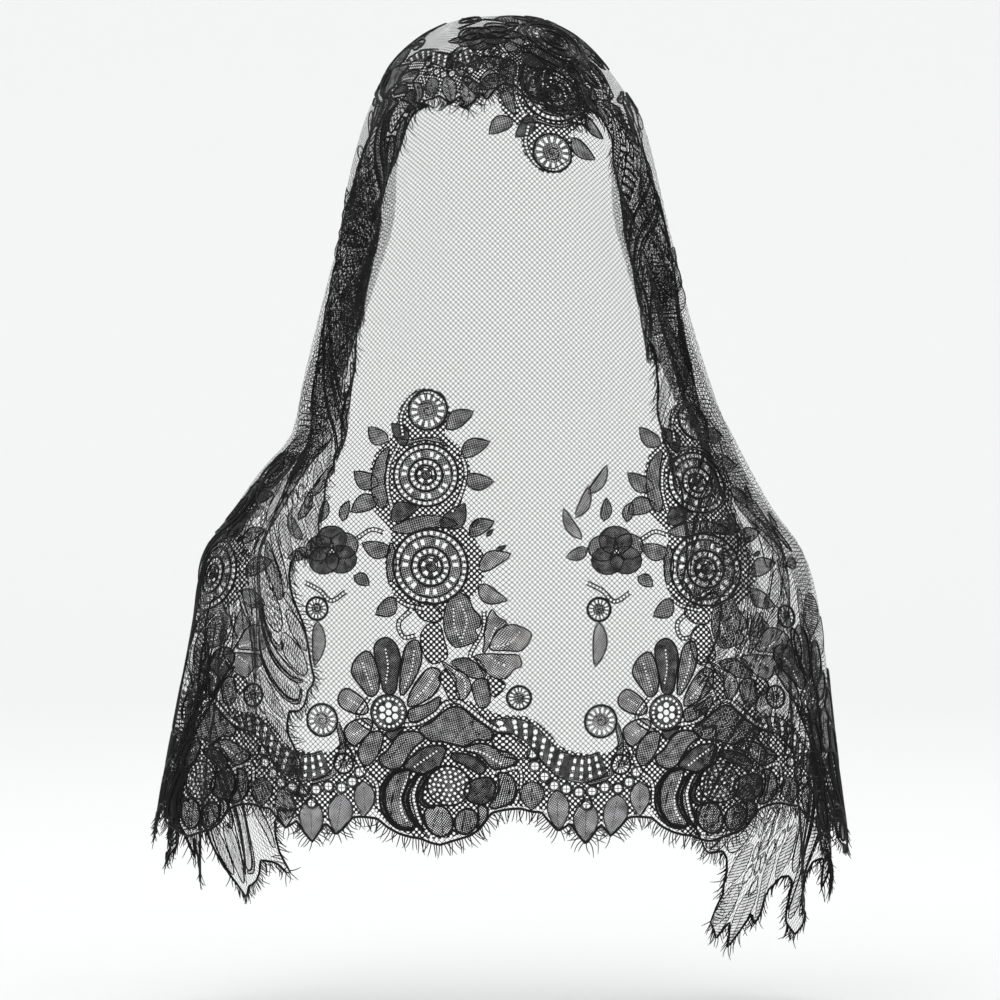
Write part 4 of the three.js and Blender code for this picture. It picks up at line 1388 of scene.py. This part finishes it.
def pierced_ground(colour, pitch):
    """The thicker ground of the border, woven round openings: a dark mesh with round lights in it."""
    material, tree, shader = new_material("border_ground", colour, roughness=0.7)
    uv = add_node(tree, "ShaderNodeUVMap", uv_map="flat_mm")
    turned = add_node(tree, "ShaderNodeVectorRotate", {"Vector": uv, "Angle": ON_CORNERS})
    finer = (MM / pitch,) * 3
    cells = add_node(tree, "ShaderNodeVectorMath", {0: turned, 1: finer}, operation="MULTIPLY")
    part = add_node(tree, "ShaderNodeVectorMath", {0: cells}, operation="FRACTION")
    flat = add_node(tree, "ShaderNodeVectorMath", {0: part, 1: (1, 1, 0)}, operation="MULTIPLY")
    away = add_node(tree, "ShaderNodeVectorMath", {0: flat, 1: (0.5, 0.5, 0)}, operation="DISTANCE")
    solid = add_node(tree, "ShaderNodeMath", {0: away.outputs["Value"], 1: HOLE_REACH},
                     operation="GREATER_THAN")
    tree.links.new(solid.outputs[0], shader.inputs["Alpha"])
    return material


def woven_filling(name, colour, pitch, share, turn):
    """Woven viscose filling of the petals: flat matt threads, closer in some places than in others.

    It reads as a soft grey or black tone with a grain. The real threads, about 0.4 mm apart, are too fine
    to show, so they are drawn about a millimetre apart."""
    material, tree, shader = new_material(name, colour, roughness=0.62)
    uv = add_node(tree, "ShaderNodeUVMap", uv_map="flat_mm")
    cloud = add_node(tree, "ShaderNodeTexNoise", {"Vector": uv, "Scale": CLOUD_SCALE, "Detail": 2.0})
    spread = add_node(tree, "ShaderNodeMapRange", {
        "Value": cloud.outputs["Fac"], "From Min": CLOUD_NOISE[0], "From Max": CLOUD_NOISE[1],
        "To Min": share - CLOUD_LESS, "To Max": share + CLOUD_MORE,
    })
    solid = thread_sets(tree, pitch, spread, turn)
    tree.links.new(solid.outputs[0], shader.inputs["Alpha"])
    return material


def corded_thread(colour):
    """Twisted viscose cord: smoother than the cloth, with a faint light along each strand."""
    material, tree, shader = new_material("viscose_cord", colour, roughness=0.5, sheen=0.06)
    where = add_node(tree, "ShaderNodeTexCoord").outputs["Object"]
    twist = add_node(tree, "ShaderNodeTexNoise", {"Vector": where, "Scale": TWISTS, "Detail": 1.0})
    bump = add_node(tree, "ShaderNodeBump", {"Height": twist, "Strength": 0.35, "Distance": 0.0003})
    tree.links.new(bump.outputs[0], shader.inputs["Normal"])
    return material


def painted_wall(colour):
    """Matt emulsion of the studio sweep, rolled on, with a very faint unevenness."""
    material, tree, shader = new_material("studio_sweep", colour, roughness=0.9)
    where = add_node(tree, "ShaderNodeTexCoord").outputs["Object"]
    roller = add_node(tree, "ShaderNodeTexNoise", {"Vector": where, "Scale": ROLLER_MARKS})
    bump = add_node(tree, "ShaderNodeBump", {"Height": roller, "Strength": 0.05, "Distance": 0.0005})
    tree.links.new(bump.outputs[0], shader.inputs["Normal"])
    return material


# The pieces that lie on the sheet
CORD_PIECES = ("hem_cords", "face_cords", "upper_cords", "edge_cord")


def piece(name):
    """The object of that name, made by an earlier step."""
    made = bpy.data.objects.get(name)
    if made is None:
        raise RuntimeError(f"{name} has to be made first")
    return made


# The lamps: name, place, what they are aimed at, size, power
LAMPS = (
    ("key", (-1.3, -1.9, 1.4), (0.0, 0.0, -0.35), 1.6, 11),
    ("fill", (1.7, -1.6, 0.7), (0.0, 0.0, -0.35), 1.8, 4),
    ("back", (0.0, 0.6, 1.7), (0.0, 0.6, -0.35), 1.8, 5),
)
AIR_STRENGTH = 1.1
# The sweep in metres: half its width, where its wall stands, the radius of the bend, the wall's top
SWEEP_HALF = 40.0
SWEEP_WALL = 7.0
SWEEP_BEND = 3.0
SWEEP_TOP = 8.0
BEND_POINTS = 13
SENSOR_WIDTH = 36.0
CLIP_START = 0.05
# What the camera looks at: the middle of the picture on the back of the cloth
VIEW_CENTRE = (-0.002, -0.09, -0.324)


def make_sweep(floor, material):
    """A floor that bends up into a wall without an edge."""
    profile = [(-SWEEP_HALF, floor)]
    for angle in np.linspace(0, math.pi / 2, BEND_POINTS):
        back = SWEEP_WALL - SWEEP_BEND * (1 - math.sin(angle))
        profile.append((back, floor + SWEEP_BEND * (1 - math.cos(angle))))
    profile.append((SWEEP_WALL, SWEEP_TOP))
    points = [(x, y, z) for y, z in profile for x in (-SWEEP_HALF, SWEEP_HALF)]
    faces = [(2 * i, 2 * i + 1, 2 * i + 3, 2 * i + 2) for i in range(len(profile) - 1)]
    return make_object("studio_sweep", points, faces, [material])


def hang_lamp(name, where, aim, size, power):
    data = bpy.data.lights.new(name, "AREA")
    data.size = size
    data.energy = power
    lamp = bpy.data.objects.new(name, data)
    lamp.location = where
    lamp.rotation_euler = (Vector(aim) - Vector(where)).to_track_quat("-Z", "Y").to_euler()
    bpy.context.scene.collection.objects.link(lamp)


def light_the_air(colour):
    world = bpy.data.worlds.new("studio")
    world.use_nodes = True
    air = world.node_tree.nodes["Background"]
    air.inputs["Color"].default_value = colour
    air.inputs["Strength"].default_value = AIR_STRENGTH
    bpy.context.scene.world = world


def set_camera(distance, width):
    data = bpy.data.cameras.new("camera")
    data.sensor_width = SENSOR_WIDTH
    data.lens = SENSOR_WIDTH * distance / width
    data.clip_start = CLIP_START
    camera = bpy.data.objects.new("camera", data)
    camera.location = Vector(VIEW_CENTRE) - Vector((0, distance, 0))
    camera.rotation_euler = (math.pi / 2, 0, 0)
    bpy.context.scene.collection.objects.link(camera)
    bpy.context.scene.camera = camera


class VeilCloth(bpy.types.PropertyGroup):
    """Sizes and colours of the lace cloth."""

    net_mesh: FloatProperty(
        name="Net mesh", description="Side of a mesh of the net",
        default=0.0024, unit="LENGTH", precision=4)
    ground_mesh: FloatProperty(
        name="Ground mesh", description="Distance between the openings of the border's ground",
        default=0.0026, unit="LENGTH", precision=4)
    grid: FloatProperty(
        name="Grid", description="Distance between the points of the plain net",
        default=0.006, unit="LENGTH", precision=4)
    net_colour: FloatVectorProperty(
        name="Net", description="Colour of the net's threads",
        default=to_linear("0e0d0e"), size=4, subtype="COLOR")
    filling_colour: FloatVectorProperty(
        name="Filling", description="Colour of the petals' threads",
        default=to_linear("131214"), size=4, subtype="COLOR")


class VeilThread(bpy.types.PropertyGroup):
    """Sizes and colour of the cords and of the fringe."""

    cord_width: FloatProperty(
        name="Cord width", description="Width of the common cord",
        default=0.0012, unit="LENGTH", precision=4)
    edge_width: FloatProperty(
        name="Edge cord width", description="Width of the cord round the edge",
        default=0.0017, unit="LENGTH", precision=4)
    hair_length: FloatProperty(
        name="Hair length", description="Length of the fringe's hairs",
        default=0.0092, unit="LENGTH", precision=4)
    hair_spacing: FloatProperty(
        name="Hair spacing", description="Distance between the fringe's hairs",
        default=0.0017, unit="LENGTH", precision=4)
    hair_width: FloatProperty(
        name="Hair width", description="Width of a hair",
        default=0.0009, unit="LENGTH", precision=5)
    seed: IntProperty(
        name="Seed", description="Seed of the fringe's lean and curl",
        default=5)
    colour: FloatVectorProperty(
        name="Thread", description="Colour of the cords and hairs",
        default=to_linear("080708"), size=4, subtype="COLOR")


class VeilStage(bpy.types.PropertyGroup):
    """Sizes and colours of the studio."""

    floor_height: FloatProperty(
        name="Floor", description="Height of the floor",
        default=-0.668, unit="LENGTH")
    view_distance: FloatProperty(
        name="View distance", description="From the camera to the hanging cloth",
        default=2.4, unit="LENGTH")
    view_width: FloatProperty(
        name="View width", description="Width of what the camera sees there",
        default=0.65, unit="LENGTH")
    sweep_colour: FloatVectorProperty(
        name="Sweep", description="Colour of the studio sweep",
        default=to_linear("f4f4f3"), size=4, subtype="COLOR")
    air_colour: FloatVectorProperty(
        name="Surroundings", description="Colour of the light from all round",
        default=(0.92, 0.93, 0.94, 1), size=4, subtype="COLOR")


class LACE_VEIL_OT_cords(bpy.types.Operator):
    """Lay the cords round the motifs and along the edge"""

    bl_idname = "lace_veil.cords"
    bl_label = "Lay the cords"

    def execute(self, context):
        sizes = context.scene.veil_thread
        thread = corded_thread(sizes.colour)
        layout = laid_out()[1]
        for group in ("hem", "face", "upper"):
            lay_cord(group + "_cords", layout.cords[group], sizes.cord_width, thread)
        edge = close(layout.outline)
        lay_cord("edge_cord", [(edge, 1.0)], sizes.edge_width, thread, EDGE_CORD_SIDES)
        for name in CORD_PIECES:
            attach(piece(name), "root")
        return {"FINISHED"}


class LACE_VEIL_OT_fringe(bpy.types.Operator):
    """Tie the hairs of the eyelash fringe along the edge"""

    bl_idname = "lace_veil.fringe"
    bl_label = "Tie the fringe"

    def execute(self, context):
        sizes = context.scene.veil_thread
        fringe = tie_fringe(
            "eyelash_fringe", close(laid_out()[1].outline), sizes.hair_spacing, sizes.hair_length,
            sizes.hair_width, piece("edge_cord").data.materials[0], sizes.seed)
        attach(fringe, "root")
        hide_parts("hem_eyelash_fringe", "face_eyelash_fringe")
        return {"FINISHED"}


class LACE_VEIL_OT_cloth(bpy.types.Operator):
    """Cut the lace cloth in the flat and drape it"""

    bl_idname = "lace_veil.cloth"
    bl_label = "Drape the cloth"

    def execute(self, context):
        sizes = context.scene.veil_cloth
        weaves = {
            "net": bobbin_net(sizes.net_colour, sizes.net_mesh),
            "coarse": pierced_ground(sizes.net_colour, sizes.ground_mesh),
        }
        for kind, (name, pitch, share, turn) in FILLINGS.items():
            weaves[kind] = woven_filling(name, sizes.filling_colour, pitch, share, turn)
        materials = [weaves[kind] for kind in KINDS if kind != "hole"]
        drape, layout = laid_out()
        flat, faces, kinds = layout.cut(sizes.grid / MM)
        sheet = make_object("lace_sheet", drape.place(flat), faces, materials, kinds, flat)
        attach(sheet, "root")
        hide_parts("net_ground", "hem_lace_border", "face_lace_border")
        area = abs(area_of(layout.outline * MM))
        return {"FINISHED"}


class LACE_VEIL_OT_stage(bpy.types.Operator):
    """Set up the studio sweep, the lights and the camera"""

    bl_idname = "lace_veil.stage"
    bl_label = "Set the stage"

    def execute(self, context):
        sizes = context.scene.veil_stage
        make_sweep(sizes.floor_height, painted_wall(sizes.sweep_colour))
        for row in LAMPS:
            hang_lamp(*row)
        light_the_air(sizes.air_colour)
        set_camera(sizes.view_distance, sizes.view_width)
        context.scene.view_settings.view_transform = "Standard"
        return {"FINISHED"}


class LACE_VEIL_PT_sidebar(bpy.types.Panel):
    """Lists the sizes, colours and steps of the veil"""

    bl_idname = "LACE_VEIL_PT_sidebar"
    bl_label = "Lace veil"
    bl_space_type = "VIEW_3D"
    bl_region_type = "UI"
    bl_category = "Lace veil"

    def draw(self, context):
        steps = (
            (context.scene.veil_thread, (LACE_VEIL_OT_cords, LACE_VEIL_OT_fringe)),
            (context.scene.veil_cloth, (LACE_VEIL_OT_cloth,)),
            (context.scene.veil_stage, (LACE_VEIL_OT_stage,)),
        )
        for settings, operators in steps:
            box = self.layout.box()
            for key in settings.__annotations__:
                box.prop(settings, key)
            for operator in operators:
                box.operator(operator.bl_idname)


SETTINGS = {"veil_cloth": VeilCloth, "veil_thread": VeilThread, "veil_stage": VeilStage}
CLASSES = (
    *SETTINGS.values(), LACE_VEIL_OT_cords, LACE_VEIL_OT_fringe, LACE_VEIL_OT_cloth, LACE_VEIL_OT_stage,
    LACE_VEIL_PT_sidebar,
)


def register():
    for cls in CLASSES:
        bpy.utils.register_class(cls)
    for key, cls in SETTINGS.items():
        setattr(bpy.types.Scene, key, PointerProperty(type=cls))


def unregister():
    for key in SETTINGS:
        delattr(bpy.types.Scene, key)
    for cls in reversed(CLASSES):
        bpy.utils.unregister_class(cls)


def main():
    register()
    bpy.ops.lace_veil.cords()
    bpy.ops.lace_veil.fringe()
    bpy.ops.lace_veil.cloth()
    bpy.ops.lace_veil.stage()


if __name__ == "__main__":
    main()
